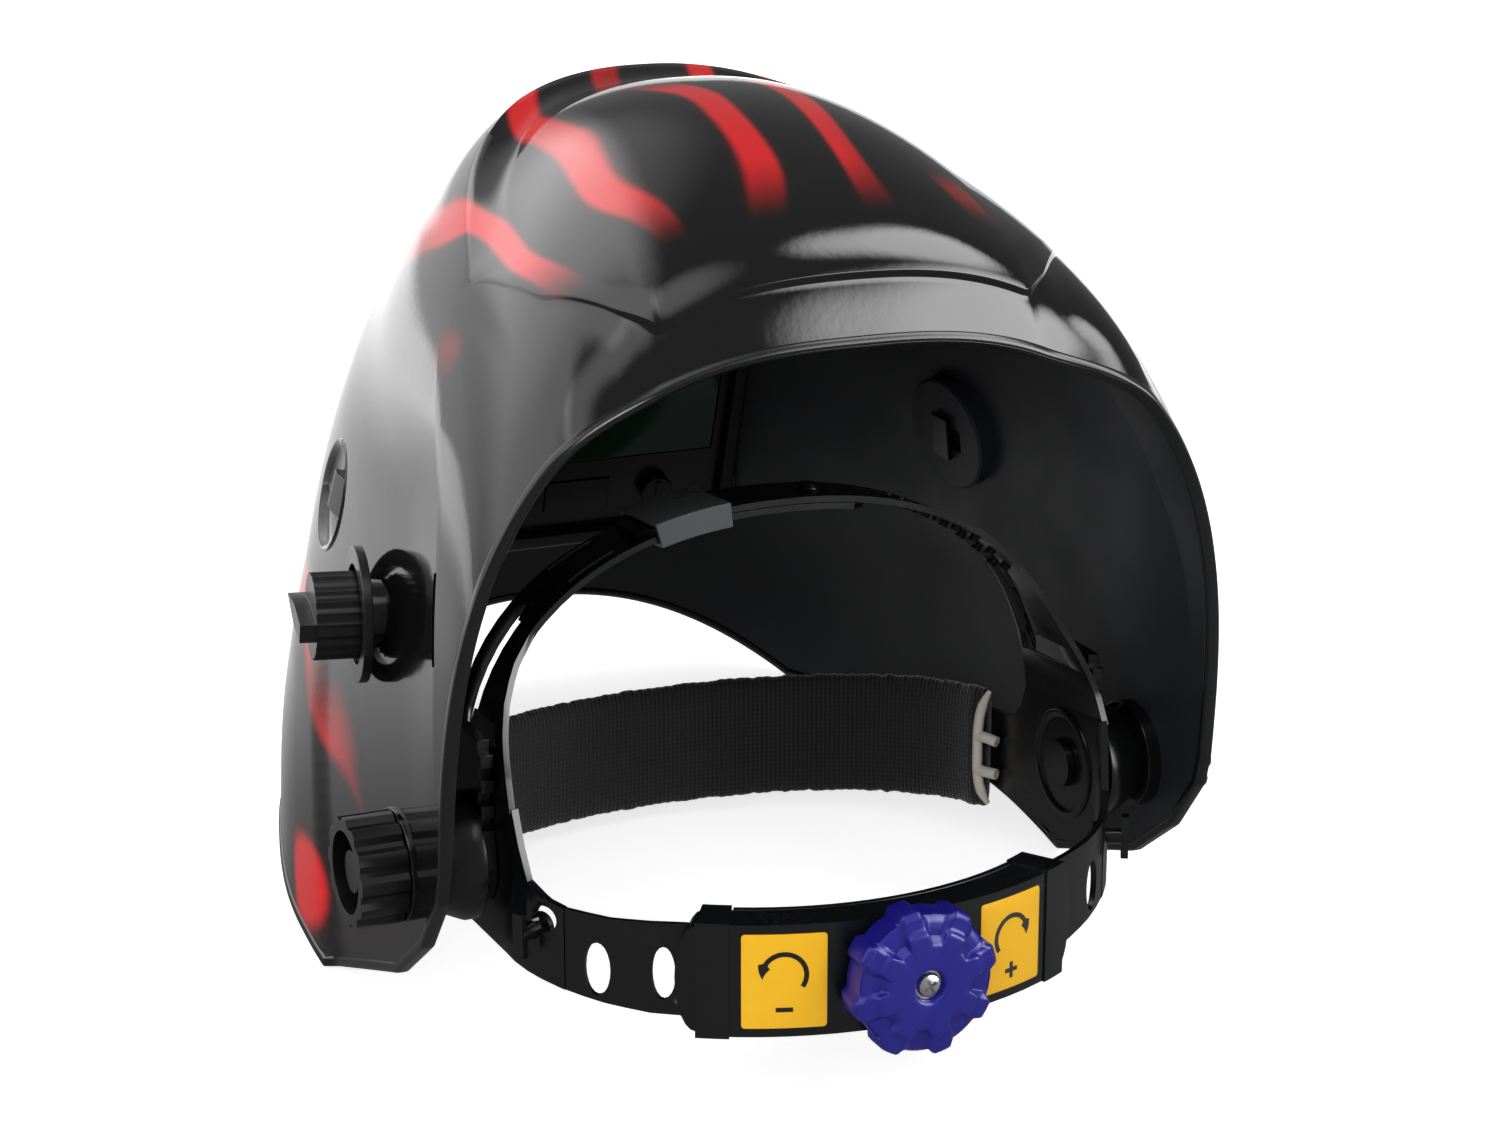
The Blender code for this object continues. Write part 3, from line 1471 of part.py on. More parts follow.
# Strap pegs: a round stem through each side plate with a flange inside and a T head outside
for label, side in SIDES:
    place = [np.interp(pivot_travel + peg_y, travel, half_path[:, k]) for k in (0, 1)]
    later = [np.interp(pivot_travel + peg_y + 1 * MM, travel, half_path[:, k]) for k in (0, 1)]
    turn = Matrix.Rotation(math.atan2(side * (later[0] - place[0]), later[1] - place[1]), 4, "Z").inverted()
    peg_frame = empty(
        f"strap peg frame {label}",
        headgear_frame,
        Matrix.Translation((side * place[0], place[1], peg_z)) @ turn,
    )
    half = PLATE_THICKNESS / 2
    flange_face = -half - 2 * GAP
    strap_peg = rod(
        f"strap_peg_{label}",
        peg_radius,
        (side * (flange_face - 1 * MM), 0, 0),
        (side * (half + 6 * MM), 0, 0),
        peg_frame,
        "satin black",
        segments=16,
    )
    join(
        strap_peg,
        rod(
            f"peg flange {label}",
            peg_radius + 2 * MM,
            (side * (flange_face - 2 * MM), 0, 0),
            (side * flange_face, 0, 0),
            peg_frame,
            segments=16,
        ),
        block(
            f"peg head {label}",
            (2.4 * MM, 4 * MM, 14 * MM),
            (side * (half + 5.5 * MM), 0, 0),
            peg_frame,
        ),
    )

# Ratchet: an arc-shaped housing open to the head, closed by a cover, with a collar at each end
ratchet_frame = empty("ratchet frame", headgear_frame, Matrix.Translation((0, arc_y, RATCHET_Z)))


def sector(name, inner, outer, start, end, height, finish=None, steps=16):
    """A block bent round the ratchet's arc, between two radii and two angles from the middle."""
    angles = [start + (end - start) * k / steps for k in range(steps + 1)]
    outline = [(outer * math.sin(a), outer * math.cos(a)) for a in angles]
    outline += [(inner * math.sin(a), inner * math.cos(a)) for a in reversed(angles)]
    return prism(name, [outline], height, ratchet_frame, finish)


collar_angle = math.radians(5)
collar_rise = 0.5 * MM
housing = sector(
    "ratchet_housing",
    channel_inner,
    RATCHET_RADIUS,
    -RATCHET_HALF_ANGLE + collar_angle / 2,
    RATCHET_HALF_ANGLE - collar_angle / 2,
    RATCHET_HEIGHT,
    "satin black",
)
for label, side in SIDES:
    low, high = sorted((side * (RATCHET_HALF_ANGLE - collar_angle), side * RATCHET_HALF_ANGLE))
    join(
        housing,
        sector(
            f"collar {label}",
            channel_inner - COVER_THICKNESS - GAP,
            RATCHET_RADIUS + collar_rise,
            low,
            high,
            RATCHET_HEIGHT + 2 * collar_rise,
            steps=4,
        ),
    )
    # A rounded lip carries the housing past its collar over the strap.
    lip_inner = channel_inner - 1.5 * MM
    lip_outer = RATCHET_RADIUS - 0.8 * MM
    lip_middle = (lip_inner + lip_outer) / 2
    lip_seat = lip_middle * collar_angle
    lip_path = [
        (side * lip_middle * math.sin(a), lip_middle * math.cos(a))
        for a in np.linspace(RATCHET_HALF_ANGLE - collar_angle, RATCHET_HALF_ANGLE + 0.1, 40)
    ]
    lip_outline = [(lip_seat / 2, -COLLAR_LIP_HEIGHT / 2)]
    lip_outline += [
        (lip_seat + COLLAR_LIP * math.cos(a), COLLAR_LIP_HEIGHT / 2 * math.sin(a))
        for a in np.linspace(-math.pi / 2, math.pi / 2, 13)
    ]
    lip_outline += [(lip_seat / 2, COLLAR_LIP_HEIGHT / 2)]
    lip_depth = lip_outer - lip_inner
    join(housing, bent(f"collar lip {label}", [lip_outline], lip_depth, lip_path, ratchet_frame, None))
cut(
    housing,
    sector(
        "strap channel",
        channel_inner,
        channel_outer,
        -RATCHET_HALF_ANGLE - 0.2,
        RATCHET_HALF_ANGLE + 0.2,
        REAR_STRAP_HEIGHT + 2 * GAP,
    ),
    sector(
        "cover seat",
        channel_inner - 20 * MM,
        channel_inner + 1 * MM,
        -RATCHET_HALF_ANGLE + collar_angle,
        RATCHET_HALF_ANGLE - collar_angle,
        REAR_STRAP_HEIGHT + 2 * GAP,
    ),
    rod(
        "shaft hole",
        PINION_SHAFT_RADIUS + BORE_PLAY,
        (0, channel_inner, 0),
        (0, RATCHET_RADIUS + 10 * MM, 0),
        ratchet_frame,
        segments=24,
    ),
)
sector(
    "ratchet_cover",
    channel_inner - GAP - COVER_THICKNESS,
    channel_inner - GAP,
    -RATCHET_HALF_ANGLE + collar_angle + 0.004,
    RATCHET_HALF_ANGLE - collar_angle - 0.004,
    RATCHET_HEIGHT,
    "satin black",
)

# Ratchet knob on its pinion, held by a screw
knob_frame = empty("ratchet knob axis", ratchet_frame)
knob_base = RATCHET_RADIUS + GAP
knob_face = knob_base + RATCHET_KNOB_THICKNESS
recess_radius = SCREW_HEAD_RADIUS + 1.2 * MM
recess_floor = knob_face - SCREW_HEAD_THICKNESS - 1 * MM
lie_back = Matrix.Rotation(-math.pi / 2, 4, "X")
ratchet_knob = prism(
    "ratchet_knob",
    [toothed(RATCHET_KNOB_RADIUS, 2 * MM, RATCHET_KNOB_LOBES, 0.26, 0.12, KNOB_REST_TURN)],
    RATCHET_KNOB_THICKNESS - 2 * MM,
    knob_frame,
    "blue plastic",
    Matrix.Translation((0, knob_base + RATCHET_KNOB_THICKNESS / 2 - 1 * MM, 0)) @ lie_back,
)
join(
    ratchet_knob,
    prism(
        "raised star",
        [toothed(0.74 * RATCHET_KNOB_RADIUS, 3.6 * MM, RATCHET_KNOB_LOBES, 0.42, 0.14, KNOB_REST_TURN)],
        4 * MM,
        knob_frame,
        None,
        Matrix.Translation((0, knob_face - 2 * MM, 0)) @ lie_back,
    ),
)
pinion_start = channel_inner + 1 * MM
pinion_end = channel_outer - GAP
cut(
    ratchet_knob,
    rod(
        "screw recess",
        recess_radius,
        (0, recess_floor, 0),
        (0, knob_face + 10 * MM, 0),
        knob_frame,
        segments=28,
    ),
    rod(
        "knob socket",
        PINION_SHAFT_RADIUS + GAP,
        (0, knob_base - 10 * MM, 0),
        (0, knob_base + 6 * MM + GAP, 0),
        knob_frame,
        segments=24,
    ),
    rod(
        "screw hole",
        SCREW_RADIUS + GAP,
        (0, knob_base + 1 * MM, 0),
        (0, recess_floor + 1 * MM, 0),
        knob_frame,
        segments=16,
    ),
)
pinion = prism(
    "ratchet_pinion",
    [lobed(PINION_RADIUS, 1.8 * MM, 9, 4, 1.0)],
    pinion_end - pinion_start,
    knob_frame,
    "dull black",
    Matrix.Translation((0, (pinion_start + pinion_end) / 2, 0)) @ lie_back,
)
join(
    pinion,
    rod(
        "pinion shaft",
        PINION_SHAFT_RADIUS,
        (0, pinion_start + 1 * MM, 0),
        (0, knob_base + 6 * MM, 0),
        knob_frame,
        segments=24,
    ),
)
screw_end = knob_base - 1 * MM
cut(
    pinion,
    rod(
        "pinion bore",
        SCREW_RADIUS + GAP,
        (0, screw_end - GAP, 0),
        (0, knob_face, 0),
        knob_frame,
        segments=16,
    ),
)
screw = rod(
    "knob_screw",
    SCREW_RADIUS,
    (0, screw_end, 0),
    (0, recess_floor + 1 * MM, 0),
    knob_frame,
    "steel",
    segments=16,
)
join(
    screw,
    rod(
        "screw head",
        SCREW_HEAD_RADIUS,
        (0, recess_floor + GAP, 0),
        (0, recess_floor + GAP + SCREW_HEAD_THICKNESS, 0),
        knob_frame,
        end_radius=0.7 * SCREW_HEAD_RADIUS,
        segments=24,
    ),
)

# Rear straps: from each side plate round into the housing, ending in a rack beside the pinion
rack_height = REAR_STRAP_HEIGHT / 2 - PINION_RADIUS - 1 * MM
tail_start = mouth_travel + strap_radius * math.radians(8)
tail_end = travel[-1] - 0.2 * MM
strap_start = pivot_travel + PLATE_BACK + GAP
for label, side in SIDES:
    rack_edge = RATCHET_Z + side * (PINION_RADIUS + 1 * MM)
    top_end, bottom_end = (strap_top, rack_edge) if side > 0 else (rack_edge, strap_bottom)
    outline = [
        (strap_start, split_top),
        (strap_start + 14 * MM, strap_top + 0.3 * MM),
        (strap_start + 26 * MM, strap_top),
        (tail_start, strap_top),
        (tail_start + 1 * MM, top_end),
        (tail_end, top_end),
        (tail_end, bottom_end),
        (tail_start + 1 * MM, bottom_end),
        (tail_start, strap_bottom),
        (strap_start + 26 * MM, strap_bottom + 1.2 * MM),
        (strap_start + 12 * MM, strap_bottom + 3.4 * MM),
        (strap_start, split_bottom),
    ]
    ovals = []
    for centre, width, height in ((10 * MM, 8 * MM, 17 * MM), (30 * MM, 7 * MM, 17 * MM)):
        ovals.append(
            [
                (strap_start + centre + x * width / height, RATCHET_Z - 1 * MM + y)
                for x, y in circle(height / 2, 20)
            ]
        )
    bent(
        f"rear_strap_{label}",
        [outline] + ovals,
        STRAP_THICKNESS,
        path_on(side),
        headgear_frame,
        "satin black",
    )
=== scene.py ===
# %% [markdown]
# # Welding helmet
# A face shell with an auto-darkening filter tilts on a ratchet headgear. The CAD frame gives every piece
# its place and its body. This script rebuilds the visible pieces with finer shapes and procedural
# materials, lights them like a studio packshot and hands them back to the frame.

import json
import math

import bmesh
import bpy
import numpy as np
from mathutils import Matrix, Vector

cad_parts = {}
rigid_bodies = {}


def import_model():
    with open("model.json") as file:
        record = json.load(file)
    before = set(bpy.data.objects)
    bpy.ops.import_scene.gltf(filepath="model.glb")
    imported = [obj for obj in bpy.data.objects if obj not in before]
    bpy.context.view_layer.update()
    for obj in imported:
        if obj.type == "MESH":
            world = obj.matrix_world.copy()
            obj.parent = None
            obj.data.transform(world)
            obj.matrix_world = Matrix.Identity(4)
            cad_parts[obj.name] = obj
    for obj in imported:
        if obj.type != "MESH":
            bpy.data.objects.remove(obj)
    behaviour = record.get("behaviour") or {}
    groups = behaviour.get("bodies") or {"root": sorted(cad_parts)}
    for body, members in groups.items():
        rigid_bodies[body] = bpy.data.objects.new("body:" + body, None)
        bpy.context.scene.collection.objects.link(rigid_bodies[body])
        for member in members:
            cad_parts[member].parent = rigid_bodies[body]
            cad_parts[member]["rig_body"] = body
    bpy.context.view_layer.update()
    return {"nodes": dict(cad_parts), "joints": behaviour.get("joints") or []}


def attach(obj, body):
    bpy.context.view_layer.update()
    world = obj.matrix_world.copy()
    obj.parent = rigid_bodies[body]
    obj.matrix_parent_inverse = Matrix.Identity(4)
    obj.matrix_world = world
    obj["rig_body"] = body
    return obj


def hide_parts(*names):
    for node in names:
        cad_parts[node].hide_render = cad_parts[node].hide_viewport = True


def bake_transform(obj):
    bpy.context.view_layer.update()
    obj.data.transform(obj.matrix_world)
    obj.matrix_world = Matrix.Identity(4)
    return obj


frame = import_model()
MM = 0.001
SIDES = (("left", 1), ("right", -1))
joints = {joint["name"]: joint for joint in frame["joints"]}
PIVOT = Vector(joints["helmet_tilt"]["pos_m"])

# %% [markdown]
# ## Helpers
# Small functions keep the cells short. Some make mesh pieces and bake their modifiers. The others add a node
# to a tree, with the values and links it is given.

# %% Helpers for meshes


def linked(name, data, *materials):
    """An object in the scene for a mesh, lamp or camera."""
    for material in materials:
        data.materials.append(material)
    item = bpy.data.objects.new(name, data)
    bpy.context.scene.collection.objects.link(item)
    return item


def new_piece(name, points, faces, *materials):
    """A mesh object in the scene, with its place in its vertices."""
    mesh = bpy.data.meshes.new(name)
    mesh.from_pydata([tuple(point) for point in points], [], [tuple(face) for face in faces])
    return linked(name, mesh, *materials)


def from_work(name, work, *materials):
    """A mesh object made from a finished bmesh."""
    mesh = bpy.data.meshes.new(name)
    work.to_mesh(mesh)
    work.free()
    return linked(name, mesh, *materials)


def settle(piece):
    """Bakes the modifiers into the mesh."""
    bpy.context.view_layer.update()
    graph = bpy.context.evaluated_depsgraph_get()
    mesh = bpy.data.meshes.new_from_object(piece.evaluated_get(graph))
    piece.modifiers.clear()
    piece.data = mesh
    return piece


def smooth_shade(piece, angle=35):
    """Smooth shading that stays sharp over edges steeper than the angle."""
    piece.data.shade_smooth()
    piece.data.set_sharp_from_angle(angle=math.radians(angle))
    return piece


def grid_faces(rows, columns):
    """Faces of a grid of rows by columns."""
    corners = [row * columns + column for row in range(rows - 1) for column in range(columns - 1)]
    return [(i, i + 1, i + columns + 1, i + columns) for i in corners]


def outwards(piece):
    """Turns the faces of a closed mesh outwards."""
    work = bmesh.new()
    work.from_mesh(piece.data)
    bmesh.ops.recalc_face_normals(work, faces=work.faces)
    if work.calc_volume(signed=True) < 0:
        bmesh.ops.reverse_faces(work, faces=work.faces)
    work.to_mesh(piece.data)
    work.free()
    return piece


def cut(piece, *tools):
    """Cuts each tool out of the piece."""
    for tool in tools:
        boolean = piece.modifiers.new("cut", "BOOLEAN")
        boolean.operation = "DIFFERENCE"
        boolean.solver = "EXACT"
        boolean.object = tool
        settle(piece)
        bpy.data.objects.remove(tool)
    return piece


def hand_over(piece, body, *nodes):
    """Gives the piece to a body, in place of the named nodes."""
    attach(piece, body)
    if nodes:
        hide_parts(*nodes)
    return piece


# %% Helpers for nodes


def add(tree, kind, inputs=None, **settings):
    """A node with its settings, values and links."""
    node = tree.nodes.new(kind)
    for key, value in settings.items():
        setattr(node, key, value)
    for key, value in (inputs or {}).items():
        if isinstance(value, bpy.types.NodeSocket):
            tree.links.new(value, node.inputs[key])
        else:
            node.inputs[key].default_value = value
    return node


def maths(tree, operation, *values):
    """One sum on up to three values."""
    return add(tree, "ShaderNodeMath", dict(enumerate(values)), operation=operation).outputs[0]


def noise(tree, place, scale, detail):
    """Soft random values from 0 to 1."""
    return add(tree, "ShaderNodeTexNoise", {"Vector": place, "Scale": scale, "Detail": detail}).outputs["Fac"]


def rescaled(tree, value, low, high, new_low=0.0, new_high=1.0, kind="LINEAR"):
    """A value taken from one range to another."""
    ends = {"From Min": low, "From Max": high, "To Min": new_low, "To Max": new_high}
    return add(
        tree, "ShaderNodeMapRange", {"Value": value, **ends}, interpolation_type=kind
    ).outputs["Result"]


def ramp(tree, value, start, end):
    """0 to 1 between two values, with a soft start and end."""
    return rescaled(tree, value, start, end, kind="SMOOTHSTEP")


def mixed(tree, share, first, second, **settings):
    """A colour between two others."""
    return add(
        tree, "ShaderNodeMix", {0: share, 6: first, 7: second}, data_type="RGBA", **settings
    ).outputs[2]


# %% [markdown]
# ## Shared shader effects
# A node group is made once and reused. *Moulded grain* gives every plastic its fine texture and uneven
# sheen. *Orange peel* is the faint ripple of sprayed paint.

# %% Shader groups


def shader_group(name, inputs, outputs):
    """An empty shader group with named sockets."""
    tree = bpy.data.node_groups.new(name, "ShaderNodeTree")
    for label, kind, value in inputs:
        tree.interface.new_socket(name=label, in_out="INPUT", socket_type=kind).default_value = value
    for label, kind in outputs:
        tree.interface.new_socket(name=label, in_out="OUTPUT", socket_type=kind)
    return tree, add(tree, "NodeGroupInput"), add(tree, "NodeGroupOutput")


FLOAT, VECTOR = "NodeSocketFloat", "NodeSocketVector"
GRAIN, given, result = shader_group(
    "Moulded grain",
    [("Vector", VECTOR, (0, 0, 0)), ("Scale", FLOAT, 900.0)],
    [("Height", FLOAT), ("Sheen", FLOAT), ("Tone", FLOAT)],
)
for label, scale, detail in (
    ("Height", given.outputs["Scale"], 2.0), ("Sheen", 28.0, 4.0), ("Tone", 9.0, 3.0),
):
    GRAIN.links.new(noise(GRAIN, given.outputs["Vector"], scale, detail), result.inputs[label])
SHEEN_SPREAD = (0.3, 0.7)


def linear(red, green, blue):
    """A screen colour from 0 to 255 as the linear colour that a shader takes."""
    channels = [c / 255 for c in (red, green, blue)]
    return tuple(c / 12.92 if c <= 0.04045 else ((c + 0.055) / 1.055) ** 2.4 for c in channels) + (1.0,)


def moulded(name, dark, light, rough, grain=900.0, relief=0.02, extra=None):
    """A moulded plastic: two near tones, uneven sheen and a fine grain. extra sets more shader values."""
    material = bpy.data.materials.new(name)
    material.use_nodes = True
    tree = material.node_tree
    shader = tree.nodes["Principled BSDF"]
    place = add(tree, "ShaderNodeTexCoord").outputs["Object"]
    effect = add(tree, "ShaderNodeGroup", node_tree=GRAIN)
    tree.links.new(place, effect.inputs["Vector"])
    effect.inputs["Scale"].default_value = grain
    tone = mixed(tree, effect.outputs["Tone"], dark, light)
    sheen = rescaled(tree, effect.outputs["Sheen"], *SHEEN_SPREAD, *rough)
    bump = add(
        tree,
        "ShaderNodeBump",
        {"Height": effect.outputs["Height"], "Strength": 0.35, "Distance": relief * MM},
    )
    tree.links.new(tone, shader.inputs["Base Color"])
    tree.links.new(sheen, shader.inputs["Roughness"])
    tree.links.new(bump.outputs["Normal"], shader.inputs["Normal"])
    for label, value in (extra or {}).items():
        shader.inputs[label].default_value = value
    return material


METAL, CLEAR_GLASS, LESS_SHINE = {"Metallic": 1.0}, {"Transmission Weight": 0.95}, {"Specular IOR Level": 0.3}
SATIN = moulded("satin black plastic", linear(9, 10, 11), linear(15, 16, 18), (0.2, 0.3))
INSIDE = moulded(
    "inside of the shell", linear(30, 31, 35), linear(42, 44, 48), (0.35, 0.48), extra=LESS_SHINE
)
DULL = moulded("dull black plastic", linear(10, 10, 11), linear(16, 16, 18), (0.42, 0.6))
KNOB = moulded("black knob plastic", linear(9, 9, 10), linear(15, 15, 17), (0.26, 0.38))
BLUE = moulded("blue knob plastic", linear(24, 20, 112), linear(32, 28, 140), (0.26, 0.36))
RIM = moulded("shell rim", linear(12, 13, 14), linear(20, 21, 23), (0.16, 0.26))
BUCKLE = moulded("grey buckle plastic", linear(70, 71, 73), linear(96, 97, 99), (0.25, 0.35))
STEEL = moulded("bright steel", linear(190, 190, 192), linear(214, 214, 216), (0.18, 0.3), extra=METAL)
YELLOW = moulded("yellow label film", linear(254, 186, 6), linear(255, 196, 14), (0.38, 0.5))
PRINT = moulded("black print", linear(16, 15, 14), linear(28, 26, 24), (0.4, 0.52))
RAW = moulded(
    "raw knit edge", linear(176, 170, 160), linear(222, 216, 206), (0.85, 1.0), grain=1600.0, relief=0.3
)
CLEAR = moulded(
    "clear cover lens", linear(232, 236, 236), linear(244, 248, 248), (0.02, 0.05), extra=CLEAR_GLASS
)
GREEN = moulded("dark filter glass", linear(10, 34, 24), linear(16, 46, 32), (0.04, 0.08))
CELL = moulded("solar cell", linear(18, 16, 40), linear(30, 26, 60), (0.15, 0.25))

# %% [markdown]
# ## Knit
# The sweatband's UV map counts its stitches: one unit across is a rib, one unit along is a course. Waves over
# that map lift the loops, and the same waves paint shade into the valleys between them and light onto the
# loop tops.

# %% Knit material
KNIT = moulded(
    "black knit", linear(24, 24, 24), linear(40, 40, 40), (0.85, 1.0),
    grain=1400.0, relief=0.15, extra={"Sheen Weight": 0.35},
)
tree = KNIT.node_tree
laid = add(
    tree, "ShaderNodeSeparateXYZ", {"Vector": add(tree, "ShaderNodeUVMap", uv_map="knit").outputs["UV"]}
)
wale = maths(tree, "COSINE", maths(tree, "MULTIPLY", laid.outputs["X"], 2 * math.pi))
course = maths(tree, "SINE", maths(tree, "MULTIPLY", laid.outputs["Y"], 2 * math.pi))
loops_height = maths(tree, "MULTIPLY_ADD", course, 0.2, wale)
bump = tree.nodes["Bump"].inputs
fuzz = bump["Height"].links[0].from_socket
tree.links.new(maths(tree, "MULTIPLY_ADD", fuzz, 1.6, loops_height), bump["Height"])
bump["Strength"].default_value, bump["Distance"].default_value = 0.6, 0.3 * MM
# Painted shade and light: the base colour is multiplied by the loop height, darker in the valleys and lighter
# on the loop tops.
painted_loop_shade = rescaled(tree, loops_height, -1.3, 1.2, 0.12, 1.5)
base = tree.nodes["Principled BSDF"].inputs["Base Color"]
even_tone = base.links[0].from_socket
tree.links.new(mixed(tree, 1.0, even_tone, painted_loop_shade, blend_type="MULTIPLY"), base)
print("materials:", len(bpy.data.materials))

# %% [markdown]
# ## Painted skin
# The outside is gloss black lacquer with soft red ribbons. A wave texture that noise pulls out of line
# draws the ribbons, a second noise breaks them into patches, and the height and side of the shell decide
# where they lie. A fine ripple in the lacquer bends the reflections a little.

# %% Ribbon group and lacquer
RIBBONS, given, result = shader_group(
    "Airbrushed ribbons",
    [("Vector", VECTOR, (0, 0, 0)), ("Scale", FLOAT, 9.0)],
    [("Mask", FLOAT), ("Light", FLOAT)],
)
wave = add(
    RIBBONS,
    "ShaderNodeTexWave",
    {
        "Vector": given.outputs["Vector"],
        "Scale": given.outputs["Scale"],
        "Distortion": 6.0,
        "Detail": 0.6,
        "Detail Scale": 1.3,
        "Detail Roughness": 0.4,
    },
    wave_type="BANDS",
    bands_direction="X",
)
patches = noise(RIBBONS, given.outputs["Vector"], 11.0, 1.0)
axes = add(RIBBONS, "ShaderNodeSeparateXYZ", {"Vector": given.outputs["Vector"]})
core = ramp(RIBBONS, wave.outputs["Fac"], 0.62, 0.9)
haze = maths(RIBBONS, "MULTIPLY", ramp(RIBBONS, wave.outputs["Fac"], 0.45, 0.95), 0.22)
strokes = maths(RIBBONS, "MAXIMUM", core, haze)
patchy = maths(RIBBONS, "MULTIPLY", strokes, ramp(RIBBONS, patches, 0.36, 0.5))
on_crown = maths(
    RIBBONS,
    "MULTIPLY",
    ramp(RIBBONS, axes.outputs["Z"], 0.2, 0.235),
    ramp(RIBBONS, axes.outputs["Y"], 0.05, 0.02),
)
on_cheek = maths(
    RIBBONS,
    "MULTIPLY",
    ramp(RIBBONS, axes.outputs["Z"], 0.13, 0.09),
    ramp(RIBBONS, axes.outputs["Y"], 0.04, 0.0),
)
place_mask = maths(RIBBONS, "MAXIMUM", on_crown, on_cheek)
RIBBONS.links.new(maths(RIBBONS, "MULTIPLY", patchy, place_mask), result.inputs["Mask"])
RIBBONS.links.new(core, result.inputs["Light"])

PEEL, given, result = shader_group(
    "Orange peel", [("Vector", VECTOR, (0, 0, 0)), ("Scale", FLOAT, 420.0)], [("Height", FLOAT)]
)
PEEL.links.new(noise(PEEL, given.outputs["Vector"], given.outputs["Scale"], 1.0), result.inputs["Height"])

GLOSS = bpy.data.materials.new("gloss black lacquer")
GLOSS.use_nodes = True
tree = GLOSS.node_tree
shader = tree.nodes["Principled BSDF"]
place = add(tree, "ShaderNodeTexCoord").outputs["Object"]
ribbons = add(tree, "ShaderNodeGroup", node_tree=RIBBONS)
peel = add(tree, "ShaderNodeGroup", node_tree=PEEL)
grain = add(tree, "ShaderNodeGroup", node_tree=GRAIN)
for effect in (ribbons, peel, grain):
    tree.links.new(place, effect.inputs["Vector"])
black = mixed(tree, grain.outputs["Tone"], linear(10, 10, 11), linear(20, 19, 18))
red = mixed(tree, ribbons.outputs["Light"], linear(120, 8, 12), linear(214, 30, 34))
colour = mixed(tree, ribbons.outputs["Mask"], black, red)
bump = add(
    tree, "ShaderNodeBump", {"Height": peel.outputs["Height"], "Strength": 0.12, "Distance": 0.12 * MM}
)
sheen = rescaled(tree, grain.outputs["Sheen"], *SHEEN_SPREAD, 0.05, 0.1)
tree.links.new(colour, shader.inputs["Base Color"])
tree.links.new(sheen, shader.inputs["Roughness"])
tree.links.new(bump.outputs["Normal"], shader.inputs["Normal"])
shader.inputs["IOR"].default_value = 1.5
print("lacquer nodes:", len(tree.nodes))

# %% [markdown]
# ## Shell
# The shell is drawn as a grid: ear to ear it follows a superellipse, front to back it follows the middle
# section. Rows of the grid run along the sunk crown panel, its front riser and its rear step, so these
# lines stay crisp. Each row is a pair: how far along the section it lies, and how deep it sinks below the
# plain surface. A ridge stands in front of the panel, a facet is raised on each cheek, and a second skin
# inside makes the wall.

# %% Shell surface
PIVOT_HEIGHT, ARCH_HEIGHT, ARCH_BACK, CROWN_HEIGHT = 67 * MM, 166 * MM, 19 * MM, 213 * MM
FRONT_REACH, REAR_EDGE_BACK, REAR_HALF_WIDTH, CHEEK_HALF_WIDTH = 231 * MM, 40 * MM, 129.5 * MM, 133.5 * MM
PANEL_SINK, BAND_SINK, STEP_DROP, CREASE_PROUD, RIM_TRIM = 5 * MM, 5 * MM, 2 * MM, 1.6 * MM, 5 * MM
CHIN_ARCH_RADIUS, CHIN_ARCH_TOP, SHELL_WALL = 170 * MM, -209 * MM, 3 * MM
DISH_SINK, RIDGE_PROUD = 1.2 * MM, 1.8 * MM
# Shares of the way from the middle to the side, and from the rear to the lower rim
PANEL_END, PANEL_EASE, RIDGE_RUN, CREASE_RUN, NEARBY = 0.48, 0.22, 0.11, 0.15, 0.004
BAND_ROWS = 13


def smooth(knots, values, at):
    """A smooth curve through values at knots, read at the given places."""
    knots, values, at = np.asarray(knots, float), np.asarray(values, float), np.asarray(at, float)
    slopes = np.gradient(values, knots, axis=0)
    i = np.clip(np.searchsorted(knots, at, side="right") - 1, 0, len(knots) - 2)
    span = knots[i + 1] - knots[i]
    u = (at - knots[i]) / span
    if values.ndim > 1:
        u, span = u[..., None], span[..., None]
    ease = u * u * (3 - 2 * u)
    start = slopes[i] * span * (u - 2 * u * u + u**3)
    end = slopes[i + 1] * span * (u**3 - u * u)
    return values[i] * (1 - ease) + values[i + 1] * ease + start + end


def lengths_along(points):
    """Each point's share of the way along a path."""
    total = np.concatenate([[0], np.cumsum(np.linalg.norm(np.diff(points, axis=0), axis=1))])
    return total / total[-1]


CENTRE_LINE = np.array(
    [
        (ARCH_BACK + 0.65 * (PANEL_SINK + BAND_SINK), ARCH_HEIGHT + 0.76 * (PANEL_SINK + BAND_SINK)),
        (ARCH_BACK - 8 * MM, ARCH_HEIGHT + 22 * MM),
        (-50 * MM, CROWN_HEIGHT),
        (-110 * MM, CROWN_HEIGHT - 2 * MM),
        (-167 * MM, CROWN_HEIGHT - 28 * MM),
        (-FRONT_REACH + 23 * MM, 120 * MM),
        (-FRONT_REACH + 14 * MM, 50 * MM),
        (-FRONT_REACH + 1 * MM, -10 * MM),
        (-FRONT_REACH + 2 * MM, -PIVOT_HEIGHT - RIM_TRIM),
    ]
)
SIDE_EDGE = np.array(
    [
        (REAR_EDGE_BACK, 20 * MM),
        (REAR_EDGE_BACK - 1 * MM, 9 * MM),
        (REAR_EDGE_BACK - 12.5 * MM, -13 * MM),
        (REAR_EDGE_BACK - 33 * MM, -34.5 * MM),
        (-50 * MM - 1.75 * RIM_TRIM, -PIVOT_HEIGHT - RIM_TRIM),
    ]
)
CENTRE_KNOTS, SIDE_KNOTS = lengths_along(CENTRE_LINE), lengths_along(SIDE_EDGE)
SHELL_CORE = np.array((0, -80 * MM, 50 * MM))
CHEEK_LINE = np.array([(-52, -67), (-66, -34), (-85, 8), (-92, 30)]) * MM
CHEEK_PROUD = 2.8 * MM


